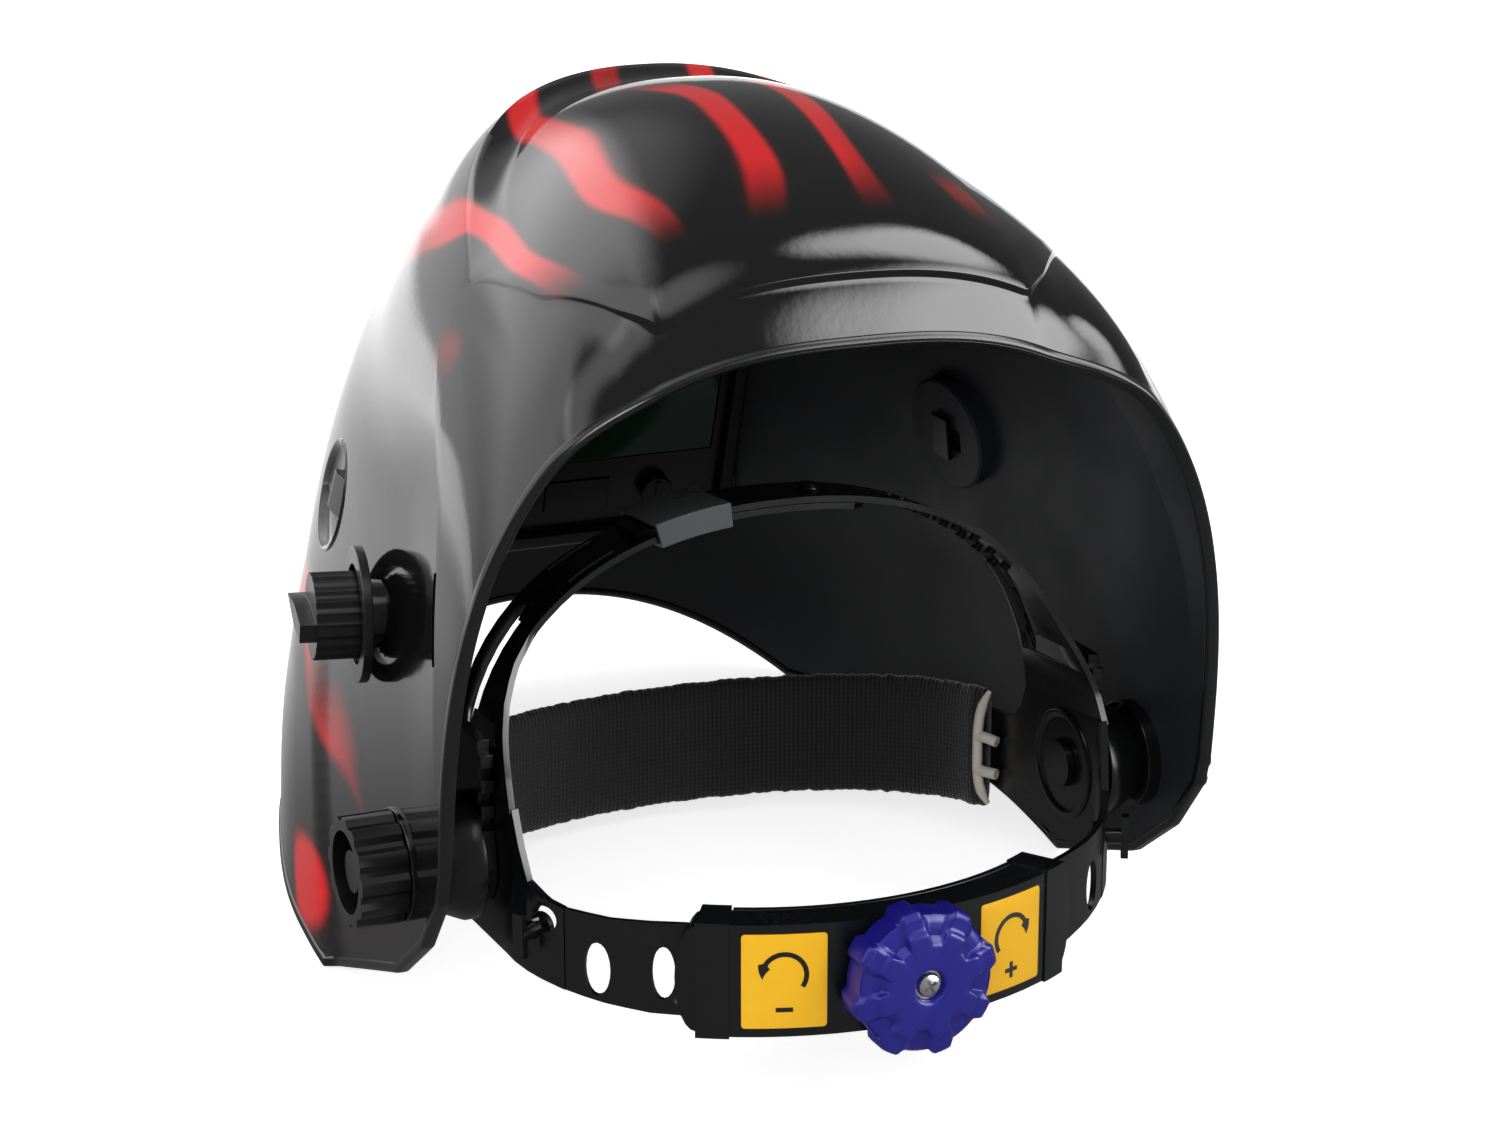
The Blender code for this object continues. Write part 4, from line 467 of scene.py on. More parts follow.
def shell_surface(across, along):
    """Outer surface of the left half, by its place from middle to side and from rear to rim."""
    middle = smooth(CENTRE_KNOTS, CENTRE_LINE, along)
    edge_y = np.interp(along, SIDE_KNOTS, SIDE_EDGE[:, 0])
    edge_z = np.interp(along, SIDE_KNOTS, SIDE_EDGE[:, 1])
    power = 2 / smooth((0, 0.25, 0.6, 0.68, 0.82, 1), (2.7, 2.35, 2.57, 2.7, 2.75, 2.4), along)
    half_width = smooth((0, 0.5, 1), (REAR_HALF_WIDTH, REAR_HALF_WIDTH + 1 * MM, CHEEK_HALF_WIDTH), along)
    angle = across * math.pi / 2
    inwards = np.maximum(np.cos(angle), 0) ** power
    x = half_width * np.sin(angle) ** power
    y = edge_y + (middle[..., 0] - edge_y) * inwards
    z = edge_z + (middle[..., 1] - edge_z) * inwards
    return np.stack([x, y, z], axis=-1)


def eased(share):
    """0 to 1 with a soft start and end."""
    share = np.clip(share, 0, 1)
    return share * share * (3 - 2 * share)


def rim_height(x):
    """Height of the lower rim, flat on the table and arched under the chin."""
    return np.maximum(-PIVOT_HEIGHT, CHIN_ARCH_TOP + np.sqrt(np.maximum(CHIN_ARCH_RADIUS**2 - x**2, 0)))


def soft_line(knots, values, at, blur=0.009):
    """Straight lines through values at knots, with their corners rounded."""
    fine = np.linspace(-0.1, 1.1, 2401)
    weight = np.exp(-(((np.arange(-60, 61) * 0.0005) / blur) ** 2))
    padded = np.pad(np.interp(fine, knots, values), 60, mode="edge")
    return np.interp(at, fine, np.convolve(padded, weight / weight.sum(), mode="valid"))


spans = ((0, 0.25, 22), (0.25, 0.4, 32), (0.4, 0.49, 56), (0.49, 0.62, 24), (0.62, 1, 34))
across = np.unique(np.concatenate([np.linspace(*span) for span in spans]).round(9))
step = soft_line(
    (0, 0.25, 0.31, 0.415, 0.447, 0.466, 0.54, 0.6, 0.69, 0.82, 1),
    (0.042, 0.04, 0.07, 0.137, 0.188, 0.243, 0.272, 0.238, 0.165, 0.115, 0.09),
    across,
)
top = smooth(
    (0, 0.1, 0.2, 0.255, 0.345, 0.417, 0.466, 0.54, 1),
    (0.41, 0.408, 0.395, 0.378, 0.344, 0.295, 0.255, 0.2, 0.1),
    across,
)
top = np.maximum(top, step + np.interp(across, (0.466, 0.6), (0.012, 0.08)))
riser = soft_line((0, 0.25, 0.32, 0.385, 0.43, 0.466), (0.03, 0.03, 0.047, 0.066, 0.05, 0.01), across)
foot = np.maximum(top - riser, (step + top) / 2)
low, high = np.full_like(across, 0.55), np.ones_like(across)
for _ in range(40):
    half = (low + high) / 2
    spot = shell_surface(across, half)
    above = spot[:, 2] > rim_height(spot[:, 0])
    low, high = np.where(above, half, low), np.where(above, high, half)
rim_end = (low + high) / 2
rim = (PANEL_SINK + BAND_SINK) * eased((PANEL_END - across) / PANEL_EASE)
panel = PANEL_SINK * eased((PANEL_END - across) / PANEL_EASE)
crease = CREASE_PROUD * np.interp(across, (0.5, 0.62, 0.82, 0.94), (0, 1, 1, 0))
drop, fill = eased((0.33 - across) / 0.08), eased((PANEL_END - across) / 0.17)
band = PANEL_SINK * fill + STEP_DROP * drop
rows = []
for share in np.linspace(0, 1, BAND_ROWS):
    rows.append((step * share, rim + (band - rim) * share - crease * share))
ledge = 0.0035 * np.sqrt(1 + (2.6 * np.gradient(step, across)) ** 2)
ledge = np.minimum(np.minimum(ledge, 0.016), 0.45 * (foot - step))
for share in np.linspace(0, 1, 7)[1:]:
    rows.append((step + ledge * share, band + (panel - band) * eased(share)))
start = step + ledge + 0.1 * (foot - step - ledge)
dish, ridge = DISH_SINK * eased((PANEL_END - across) / 0.09), RIDGE_PROUD * eased((PANEL_END - across) / 0.10)
for share in np.linspace(0, 1, 24):
    rows.append((start + (foot - start) * share, panel + dish * eased(share)))
for share in np.linspace(0, 1, 9)[1:]:
    rows.append((foot + (top - foot) * share, (panel + dish) * (1 - share * share) - ridge * share * share))
for share in np.linspace(0, 1, 84)[1:]:
    along = top + (rim_end - top) * share
    rows.append((along, -ridge * (1 - eased((along - top) / RIDGE_RUN))))
left, left_inner = [], []
for index, (along, sink) in enumerate(rows):
    if index >= BAND_ROWS:
        sink = sink - crease * np.clip(1 - (along - step) / CREASE_RUN, 0, 1) ** 2
    along = np.minimum(along, 1)
    points = shell_surface(across, along)
    inward = SHELL_CORE - points
    inward[0, 0] = 0
    inward /= np.linalg.norm(inward, axis=1)[:, None]
    points = points + inward * sink[:, None]
    sideways = shell_surface(np.minimum(across + NEARBY, 1), along)
    sideways = sideways - shell_surface(np.maximum(across - NEARBY, 0), along)
    sideways[0] = (1, 0, 0)
    forwards = shell_surface(across, np.minimum(along + NEARBY, 1))
    forwards = forwards - shell_surface(across, np.maximum(along - NEARBY, 0))
    normal = np.cross(sideways, forwards)
    normal /= np.linalg.norm(normal, axis=1)[:, None]
    normal *= np.sign(np.einsum("ij,ij->i", normal, points - SHELL_CORE))[:, None]
    ahead = np.interp(points[:, 2], CHEEK_LINE[:, 1], CHEEK_LINE[:, 0]) - points[:, 1]
    slope = np.interp(points[:, 2], (-50 * MM, 10 * MM), (11 * MM, 7 * MM))
    raised = eased((ahead + slope) / slope) * eased((34 * MM - points[:, 2]) / (28 * MM))
    raised *= (1 - eased((ahead - 25 * MM) / (60 * MM))) * eased((across - 0.5) / 0.12)
    points = points + normal * (CHEEK_PROUD * raised)[:, None]
    left.append(points)
    left_inner.append(points - normal * SHELL_WALL)
skins = []
for half in (np.array(left), np.array(left_inner)):
    skins.append(np.concatenate([half[:, :0:-1] * (-1, 1, 1), half], axis=1) + np.array(PIVOT))
row_count, column_count = skins[0].shape[:2]
per_skin = row_count * column_count
outer_faces = [face[::-1] for face in grid_faces(row_count, column_count)]
inner_faces = [tuple(i + per_skin for i in face[::-1]) for face in outer_faces]
edge_loop = list(range(column_count))
edge_loop += [row * column_count + column_count - 1 for row in range(1, row_count)]
edge_loop += [(row_count - 1) * column_count + column for column in range(column_count - 2, -1, -1)]
edge_loop += [row * column_count for row in range(row_count - 2, 0, -1)]
rim_faces = []
for first, second in zip(edge_loop, edge_loop[1:] + edge_loop[:1]):
    rim_faces.append((first, second, second + per_skin, first + per_skin))
shell = new_piece(
    "shell_skin",
    np.concatenate([skin.reshape(-1, 3) for skin in skins]),
    outer_faces + inner_faces + rim_faces,
    GLOSS,
    INSIDE,
    RIM,
)
slots = [0] * len(outer_faces) + [1] * len(inner_faces) + [2] * len(rim_faces)
shell.data.polygons.foreach_set("material_index", slots)
outwards(shell)
print("shell rows and columns:", row_count, column_count)

# %% [markdown]
# ## Solid shapes
# Rods and blocks are the plain solids. They serve as pieces and as tools that cut other pieces, and `rounded`
# takes the sharpness off their edges.

# %% Tools for solid shapes


def rod(name, radius, start, end, at, *materials, end_radius=None, segments=64):
    """A cylinder or cone between two points of a frame."""
    start, end = Vector(start), Vector(end)
    work = bmesh.new()
    bmesh.ops.create_cone(
        work,
        cap_ends=True,
        segments=segments,
        radius1=radius,
        radius2=radius if end_radius is None else end_radius,
        depth=(end - start).length,
    )
    turn = (end - start).to_track_quat("Z", "Y").to_matrix().to_4x4()
    bmesh.ops.transform(work, matrix=at @ Matrix.Translation((start + end) / 2) @ turn, verts=work.verts)
    return from_work(name, work, *materials)


def block(name, size, centre, at, *materials):
    """A box in a frame."""
    work = bmesh.new()
    bmesh.ops.create_cube(work, size=1)
    bmesh.ops.scale(work, vec=size, verts=work.verts)
    bmesh.ops.translate(work, vec=centre, verts=work.verts)
    bmesh.ops.transform(work, matrix=at, verts=work.verts)
    return from_work(name, work, *materials)


def rounded(piece, width=0.4 * MM, angle=32, segments=2):
    """Rounds the edges and weighs the normals by face size."""
    bevel = piece.modifiers.new("rounded edges", "BEVEL")
    bevel.width, bevel.segments = width, segments
    bevel.limit_method, bevel.angle_limit = "ANGLE", math.radians(angle)
    settle(piece)
    smooth_shade(piece, 40)
    piece.modifiers.new("weighted normals", "WEIGHTED_NORMAL").keep_sharp = True
    return settle(piece)


# %% [markdown]
# ## Shapes that follow a rule
# `lathe` turns a profile about an axis and `tube` sweeps a round section along points. Both fill a grid of
# points and hand the faces to one mesh.

# %% Lathe and tube


def ring_piece(name, rings, closed, *materials):
    """A mesh through rings of equal size: closed back on itself, or capped at both ends."""
    rings = np.asarray(rings, float)
    count, size = rings.shape[:2]
    faces = []
    for i in range(count if closed else count - 1):
        j = (i + 1) % count
        for k in range(size):
            m = (k + 1) % size
            faces.append((i * size + k, i * size + m, j * size + m, j * size + k))
    if not closed:
        faces.append(tuple(range(size)))
        faces.append(tuple(range((count - 1) * size, count * size)))
    return outwards(new_piece(name, rings.reshape(-1, 3), faces, *materials))


def placed(points, at):
    """Points of a frame in the world."""
    points = np.asarray(points, float)
    turn = np.array(at.to_3x3())
    return points @ turn.T + np.array(at.translation)


def lathe(name, profile, at, closed, *materials, segments=64):
    """A profile of (radius, way along the axis) in millimetres, turned about the frame's Y."""
    angles = np.linspace(0, 2 * np.pi, segments, endpoint=False)
    rings = [
        np.stack([r * np.cos(angles), np.full(segments, y), r * np.sin(angles)], axis=1) for r, y in profile
    ]
    return ring_piece(name, placed(np.array(rings) * MM, at), closed, *materials)


def tube(name, points, radius, *materials, sides=10, flat=1.0):
    """A round or flattened bar along points."""
    points = np.asarray(points, float)
    radius = np.broadcast_to(radius, len(points))
    tangent = np.gradient(points, axis=0)
    tangent /= np.linalg.norm(tangent, axis=1)[:, None]
    guide = np.array((0.13, 0.21, 0.97))
    side = np.cross(tangent, guide)
    side /= np.linalg.norm(side, axis=1)[:, None]
    over = np.cross(side, tangent)
    angles = np.linspace(0, 2 * np.pi, sides, endpoint=False)
    rings = [
        p + r * (np.cos(angles)[:, None] * s * flat + np.sin(angles)[:, None] * o)
        for p, r, s, o in zip(points, radius, side, over)
    ]
    return smooth_shade(ring_piece(name, rings, False, *materials), 60)


# %% [markdown]
# ## Openings
# Tools cut the window, the catch recesses and the side slot out of the shell. Each has a frame of its own;
# the catch and slot frames are worked out from the joints.

# %% Cut the openings
WINDOW_CUT, SLOT_CUT, RECESS_RADIUS = (0.126, 0.09, 0.106), (0.05, 0.0025, 0.027), 0.018
HEAD_TILT, SLOT_TILT = math.radians(11), math.radians(32)
SHELL_AT = Matrix.Translation(PIVOT)
HEAD_AT = SHELL_AT @ Matrix.Rotation(HEAD_TILT, 4, "X")
WINDOW_AT = Matrix.Translation((0, -0.155781, 0.122)) @ Matrix.Rotation(-math.atan2(9, 70), 4, "X")
shade_axis = Vector(joints["shade_turn"]["axis"])
shade_aim = Matrix.Rotation(math.atan2(shade_axis.y, shade_axis.x), 4, "Z")
SHADE_AT = Matrix.Translation(joints["shade_turn"]["pos_m"]) @ shade_aim
CATCH_AT = {}
for label, side in SIDES:
    rearwards = Vector(joints[f"catch_{label}_slide"]["axis"]).normalized()
    outward = Vector((side * 0.96636, -0.17755, 0.18608))
    outward = (outward - rearwards * outward.dot(rearwards)).normalized()
    turn = Matrix((rearwards, outward.cross(rearwards), outward)).transposed().to_4x4()
    CATCH_AT[label] = Matrix.Translation((side * 0.115432, -0.057542, 0.135)) @ turn
slot_at = SHELL_AT @ Matrix.Translation((0.12, 0.010, 0.088)) @ Matrix.Rotation(SLOT_TILT, 4, "X")
cut(shell, block("window tool", WINDOW_CUT, (0, 0, 0), WINDOW_AT))
cut(shell, block("slot tool", SLOT_CUT, (0, 0, 0), slot_at))
for label in CATCH_AT:
    cut(shell, rod("recess tool", RECESS_RADIUS, (0, 0, -0.02), (0, 0, 0.02), CATCH_AT[label]))
smooth_shade(shell, 55)
hand_over(shell, "face_shell", "shell")
print("shell faces after the cuts:", len(shell.data.polygons))

# %% [markdown]
# ## Seats in the wall
# The lens surround is a tapered frame round the window. A shallow cup closes each catch recess, and round
# bosses carry the pivots and the shade control.

# %% Lens surround, cups and bosses
surround = block("lens_surround", (0.132, 0.02, 0.112), (0, 0.006, 0), Matrix.Identity(4), GLOSS)
for vert in surround.data.vertices:
    wide, tall = (71 * MM, 61 * MM) if vert.co.y > 0 else (66 * MM, 56 * MM)
    if vert.co.z > 0:
        wide, tall = wide - 8 * MM, tall - 4.5 * MM
    vert.co.x, vert.co.z = math.copysign(wide, vert.co.x), math.copysign(tall, vert.co.z)
surround.data.transform(WINDOW_AT)
cut(
    surround,
    block("opening tool", (0.100, 0.08, 0.080), (0, 0, 0), WINDOW_AT),
    block("lens seat tool", (0.1126, 0.02, 0.0926), (0, -0.0107, 0), WINDOW_AT),
)
hand_over(rounded(surround, 0.8 * MM), "face_shell")
for label, at in CATCH_AT.items():
    dish_at = at @ Matrix.Rotation(math.pi / 2, 4, "X")
    cup = lathe(
        f"catch_cup_{label}",
        [(18.6, -0.6), (18.2, 0.05), (17.4, -0.2), (16.2, -1.6), (14.0, -2.7), (9.0, -3.3), (0.01, -3.5),
         (0.01, -9.3), (19.5, -9.3), (20.3, -8.5), (20.3, -2.0)],
        dish_at, True, GLOSS, INSIDE,
    )
    for face in cup.data.polygons:
        spot = at.inverted() @ face.center
        face.material_index = int(spot.z < -4 * MM or spot.xy.length > 18.4 * MM)
    cut(cup, block("cup slot tool", (0.0126, 0.0086, 0.03), (0.0025, 0, -0.0083), at))
    hand_over(smooth_shade(cup, 40), "face_shell")
for label, side in SIDES:
    boss = rod(f"pivot_boss_{label}", 0.0178, (side * 0.122, 0, 0), (side * 0.1305, 0, 0), SHELL_AT, GLOSS)
    hand_over(rounded(boss, 0.6 * MM), "face_shell")
pad = rod("shade_boss", 0.0105, (-0.0065, 0, 0), (0, 0, 0), SHADE_AT, GLOSS)
hand_over(rounded(pad, 0.5 * MM), "face_shell")

# %% [markdown]
# ## Rim bead
# The bead is one section swept round the whole edge. At each point of the edge it is set up by two
# directions: out of the wall and past the edge.

# %% Rim bead
skin_points = skins[0].reshape(-1, 3)
back_points = skins[1].reshape(-1, 3)
inside_of = {}
for column in range(column_count):
    inside_of[column] = column + column_count
    inside_of[(row_count - 1) * column_count + column] = (row_count - 2) * column_count + column
for row in range(1, row_count - 1):
    inside_of[row * column_count] = row * column_count + 1
    inside_of[row * column_count + column_count - 1] = row * column_count + column_count - 2
edge = skin_points[edge_loop]
away = edge - skin_points[[inside_of[i] for i in edge_loop]]
out_of_wall = edge - back_points[edge_loop]
out_of_wall /= np.linalg.norm(out_of_wall, axis=1)[:, None]
tangent = np.roll(edge, -1, axis=0) - np.roll(edge, 1, axis=0)
for _ in range(6):
    tangent = (np.roll(tangent, 1, axis=0) + tangent + np.roll(tangent, -1, axis=0)) / 3
past_edge = np.cross(tangent, out_of_wall)
past_edge /= np.linalg.norm(past_edge, axis=1)[:, None]
past_edge *= np.sign(np.einsum("ij,ij->i", past_edge, away))[:, None]
BEAD = [
    (-0.3, -3.4), (0.45, -3.2), (0.75, -2.6), (0.75, -0.9), (0.45, -0.2), (-0.2, 0.0), (-1.5, 0.05),
    (-2.8, 0.0), (-3.5, -0.3), (-3.8, -1.0), (-3.8, -2.0), (-3.3, -2.8), (-2.4, -3.2),
]
rings = [edge + out_of_wall * (n * MM) + past_edge * (e * MM) for n, e in BEAD]
bead = ring_piece("rim_bead", np.stack(rings, axis=1), True, RIM)
hand_over(smooth_shade(bead, 60), "face_shell")
print("bead faces:", len(bead.data.polygons))

# %% [markdown]
# ## Plain moulded pieces
# Most small pieces keep their CAD shape. A copy gets welded points, rounded edges and weighted normals, so
# light catches every edge the way it does on a moulding.

# %% Rounded copies


def softened(node, material, width=0.4 * MM, angle=32, run_on=None, tools=()):
    """A copy of a CAD node with rounded edges, in its place. run_on moves its points first, tools cut it."""
    source = frame["nodes"][node]
    mesh = source.data.copy()
    work = bmesh.new()
    work.from_mesh(mesh)
    if run_on:
        run_on(work.verts)
    bmesh.ops.remove_doubles(work, verts=work.verts, dist=1e-5)
    bmesh.ops.dissolve_limit(work, angle_limit=math.radians(1), verts=work.verts, edges=work.edges)
    work.to_mesh(mesh)
    work.free()
    mesh.materials.clear()
    piece = linked("fine_" + node, mesh, material)
    rounded(piece, width, angle)
    cut(piece, *tools)
    return hand_over(piece, source["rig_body"], node)


CROWN_AT = HEAD_AT @ Matrix.Translation((0, 0, 20 * MM)) @ Matrix.Rotation(math.radians(4.4), 4, "X")


def arch_spot(angle, depth, lift):
    """A place on the crown strap: angle from the left foot, way front to back, height over its middle."""
    c, s = np.cos(angle), np.sin(angle)
    x, z = 101.2 * np.sign(c) * np.abs(c) ** 0.88, 81 * s**0.88
    normal = np.stack([np.gradient(z), -np.gradient(x)], axis=-1)
    normal /= np.linalg.norm(normal, axis=-1)[..., None]
    normal *= np.sign(normal[..., :1] * x[..., None] + normal[..., 1:] * z[..., None])
    wide, deep, high = (
        x + normal[..., 0] * lift, np.broadcast_to(depth, x.shape), z - 5 + normal[..., 1] * lift,
    )
    spots = np.stack([wide, deep, high], axis=-1)
    turn = np.array(CROWN_AT.to_3x3())
    facing_way = np.stack([normal[..., 0], 0 * x, normal[..., 1]], axis=-1) @ turn.T
    return placed(spots * MM, CROWN_AT), facing_way


def strap_slot(side):
    """A long tool for the slot in the foot of a crown strap."""
    angles = np.linspace(0.2, 0.72, 30)
    points, _ = arch_spot(angles if side > 0 else math.pi - angles, -16.5, 0.0)
    return tube(
        "slot tool", points, np.interp(range(30), (0, 4, 26, 29), (0.8, 2.9, 2.9, 1.5)) * MM, sides=16
    )


def into_plate(verts):
    """Runs the foot of a crown strap down into the side plate."""
    for vert in verts:
        spot = CROWN_AT.inverted() @ vert.co
        if spot.z < 0.7 * MM:
            spot.z -= 1.5 * MM
            vert.co = CROWN_AT @ spot


def onto_plate(verts):
    """Runs the front end of a rear strap on into the side plate."""
    spots = [HEAD_AT.inverted() @ vert.co for vert in verts]
    front = min(spot.y for spot in spots)
    end = [i for i, spot in enumerate(spots) if spot.y < front + 0.9 * MM]
    later = [spot for spot in spots if front + 3 * MM < spot.y < front + 9 * MM]
    start_x = sum(spots[i].x for i in end) / len(end)
    later_x = sum(spot.x for spot in later) / len(later)
    later_y = sum(spot.y for spot in later) / len(later)
    aim = Vector((start_x - later_x, front - later_y, 0)).normalized()
    for vert, spot in zip(verts, spots):
        if spot.y < front + 0.9 * MM:
            vert.co = HEAD_AT @ (spot + aim * 1.6 * MM)


def longer_grip(verts):
    """Gives the shade knob a longer grip."""
    for vert in verts:
        spot = SHADE_AT.inverted() @ vert.co
        if spot.x > 5 * MM:
            vert.co = SHADE_AT @ (spot + Vector((4.5 * MM, 0, 0)))


def peg_opening(side):
    """The keyhole beside a strap peg."""
    start, end = (side * 0.085, 0.0335, -0.0095), (side * 0.115, 0.0415, -0.0095)
    return rod("keyhole tool", 0.0042, start, end, HEAD_AT, segments=24)


PLAIN = {
    "filter_holder": DULL, "filter_cartridge": SATIN, "filter_glass": GREEN, "solar_cell": CELL,
    "arc_sensor_left": GREEN, "arc_sensor_right": GREEN, "inner_cover_lens": GREEN, "front_cover_lens": CLEAR,
    "battery_drawer": SATIN, "sensitivity_knob": KNOB, "delay_knob": KNOB, "shade_bezel_ring": KNOB,
    "shade_control_nut": KNOB, "shade_control_body": DULL, "side_catch_left": KNOB, "side_catch_right": KNOB,
    "pivot_stud_left": SATIN, "pivot_stud_right": SATIN,
    "tension_knob_left": KNOB, "tension_knob_right": KNOB,
    "pivot_spacer_left": SATIN, "pivot_spacer_right": SATIN,
    "tilt_stop_left": SATIN, "tilt_stop_right": SATIN,
    "crown_buckle": BUCKLE, "crown_peg": SATIN, "strap_peg_left": SATIN, "strap_peg_right": SATIN,
    "ratchet_housing": SATIN, "ratchet_cover": SATIN, "ratchet_pinion": DULL,
}
for node, material in PLAIN.items():
    softened(node, material)
for label, side in SIDES:
    softened(f"crown_strap_{label}", SATIN, 0.5 * MM, run_on=into_plate, tools=[strap_slot(side)])
softened("shade_knob", KNOB, 0.3 * MM, run_on=longer_grip)
softened("headband", SATIN, 0.5 * MM, tools=[peg_opening(side) for side in (1, -1)])
print("rounded copies:", len(PLAIN))

# %% [markdown]
# ## Rear straps
# The rear straps draw into the ratchet housing. Their front ends run on into the side plates, and each is
# then taken off its parent and baked in place.

# %% Rear straps
for label, _ in SIDES:
    strap = softened(f"rear_strap_{label}", SATIN, 0.5 * MM, run_on=onto_plate)
    strap.parent = None
    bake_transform(strap)

# %% [markdown]
# ## Rows of adjusting holes
# The crown strap has two rows of small round eyelets for its length. One Geometry Nodes group spreads discs
# along any path: it turns the path into a curve, spaces points on it, puts a disc on each point with its
# axis along the stored direction, makes the copies real and paints them.

# %% Eyelets with Geometry Nodes
SPREAD = bpy.data.node_groups.new("Spread along a path", "GeometryNodeTree")
for label, kind in (
    ("Geometry", "NodeSocketGeometry"), ("Count", "NodeSocketInt"), ("Radius", "NodeSocketFloat"),
    ("Depth", "NodeSocketFloat"), ("Material", "NodeSocketMaterial"),
):
    SPREAD.interface.new_socket(name=label, in_out="INPUT", socket_type=kind)
SPREAD.interface.new_socket(name="Geometry", in_out="OUTPUT", socket_type="NodeSocketGeometry")
given = add(SPREAD, "NodeGroupInput").outputs
path_curve = add(SPREAD, "GeometryNodeMeshToCurve", {"Mesh": given["Geometry"]})
spaced = add(
    SPREAD, "GeometryNodeResampleCurve", {"Curve": path_curve.outputs["Curve"], "Count": given["Count"]}
)
disc = add(
    SPREAD, "GeometryNodeMeshCylinder", {"Vertices": 20, "Radius": given["Radius"], "Depth": given["Depth"]}
)
stored = add(SPREAD, "GeometryNodeInputNamedAttribute", {"Name": "facing"}, data_type="FLOAT_VECTOR")
turned = add(SPREAD, "FunctionNodeAlignRotationToVector", {"Vector": stored.outputs["Attribute"]}, axis="Z")
copies = add(
    SPREAD,
    "GeometryNodeInstanceOnPoints",
    {
        "Points": spaced.outputs["Curve"],
        "Instance": disc.outputs["Mesh"],
        "Rotation": turned.outputs["Rotation"],
    },
)
real = add(SPREAD, "GeometryNodeRealizeInstances", {"Geometry": copies.outputs["Instances"]})
painted = add(
    SPREAD, "GeometryNodeSetMaterial", {"Geometry": real.outputs["Geometry"], "Material": given["Material"]}
)
add(SPREAD, "NodeGroupOutput", {"Geometry": painted.outputs["Geometry"]})
SOCKET = {item.name: item.identifier for item in SPREAD.interface.items_tree if item.in_out == "INPUT"}


def spread(name, points, facing_way, count, radius, depth, material):
    """Discs along a path, made with the group and then turned into a plain mesh."""
    mesh = bpy.data.meshes.new(name)
    mesh.from_pydata([tuple(p) for p in points], [(i, i + 1) for i in range(len(points) - 1)], [])
    stored_way = mesh.attributes.new("facing", "FLOAT_VECTOR", "POINT")
    stored_way.data.foreach_set("vector", np.ravel(facing_way).astype(np.float32))
    piece = linked(name, mesh)
    modifier = piece.modifiers.new("spread", "NODES")
    modifier.node_group = SPREAD
    for label, value in (("Count", count), ("Radius", radius), ("Depth", depth), ("Material", material)):
        modifier[SOCKET[label]] = value
    settle(piece)
    return smooth_shade(piece, 40)


angles = np.linspace(1.98, 2.5, 60)
lifts = np.interp(angles, (1.98, 2.2, 2.5), (2.0, 1.2, 0.4))
for number, depth in enumerate((-18.0, -9.0)):
    points, facing_way = arch_spot(angles, depth, lifts)
    eyelets = spread(f"strap_eyelets_{number}", points, facing_way, 7, 1.6 * MM, 3.4 * MM, DULL)
    hand_over(eyelets, "headgear")
    print("eyelet row:", len(eyelets.data.polygons), "faces")

# %% [markdown]
# ## Ribs and rings
# Two short ribs stand on the left crown strap, and a raised ring frames the pivot on each side plate.

# %% Ribs on the left strap and rings on the side plates
for number, depth in enumerate((-24.4, -5.6)):
    points, _ = arch_spot(np.linspace(0.875, 1.063, 20), depth, 1.05)
    hand_over(tube(f"strap_rib_{number}", points, 0.75 * MM, SATIN), "headgear")
for label, side in SIDES:
    ring_at = (
        HEAD_AT
        @ Matrix.Translation((side * 100 * MM, 0, 0))
        @ Matrix.Rotation(-side * math.pi / 2, 4, "Z")
    )
    ring = lathe(
        f"plate_ring_{label}",
        [(18.6, 0.3), (18.4, -0.6), (17.6, -1.0), (16.6, -1.0), (15.6, -0.5), (15.0, 0.3)],
        ring_at, True, SATIN,
    )
    hand_over(smooth_shade(ring, 50), "headgear")

# %% [markdown]
# ## Sweatband
# A knitted sleeve wraps the front of the headband. Its ribs are real relief: each ring of points swells and
# sinks along the band, and the edges wander a little, as soft fabric does.

# %% Sweatband
PLATE_X, PLATE_FRONT, BAND_FRONT = 101.2 * MM, 46 * MM, 116 * MM
RIB, COURSE, SLEEVE_TALL, SLEEVE_THICK, SLEEVE_GAP = 1.7 * MM, 1.6, 43, 6 * MM, 1.5 * MM
sweep = np.linspace(-np.pi / 2, np.pi / 2, 1441)
band_path = np.stack(
    [PLATE_X * np.sin(sweep), -PLATE_FRONT - (BAND_FRONT - PLATE_FRONT) * np.cos(sweep)], axis=1
)
band_way = np.concatenate([[0], np.cumsum(np.linalg.norm(np.diff(band_path, axis=0), axis=1))])
band_way -= band_way[-1] / 2


def band_spot(way):
    """Place on the headband's middle line, and the direction towards the head."""
    on_band = np.clip(way, band_way[0] + 0.5 * MM, band_way[-1] - 0.5 * MM)
    place, later, before = (
        np.stack([np.interp(on_band + shift, band_way, band_path[:, k]) for k in (0, 1)], axis=-1)
        for shift in (0, 0.5 * MM, -0.5 * MM)
    )
    aim = later - before
    aim = aim / np.linalg.norm(aim, axis=-1)[..., None]
    place = place + aim * (way - on_band)[..., None]
    return place, np.stack([-aim[..., 1], aim[..., 0]], axis=-1)


def band_height(way):
    """Middle height of the front band."""
    return (-16 + 6 * np.minimum(np.abs(way) / band_way[-1], 1) ** 2) * MM


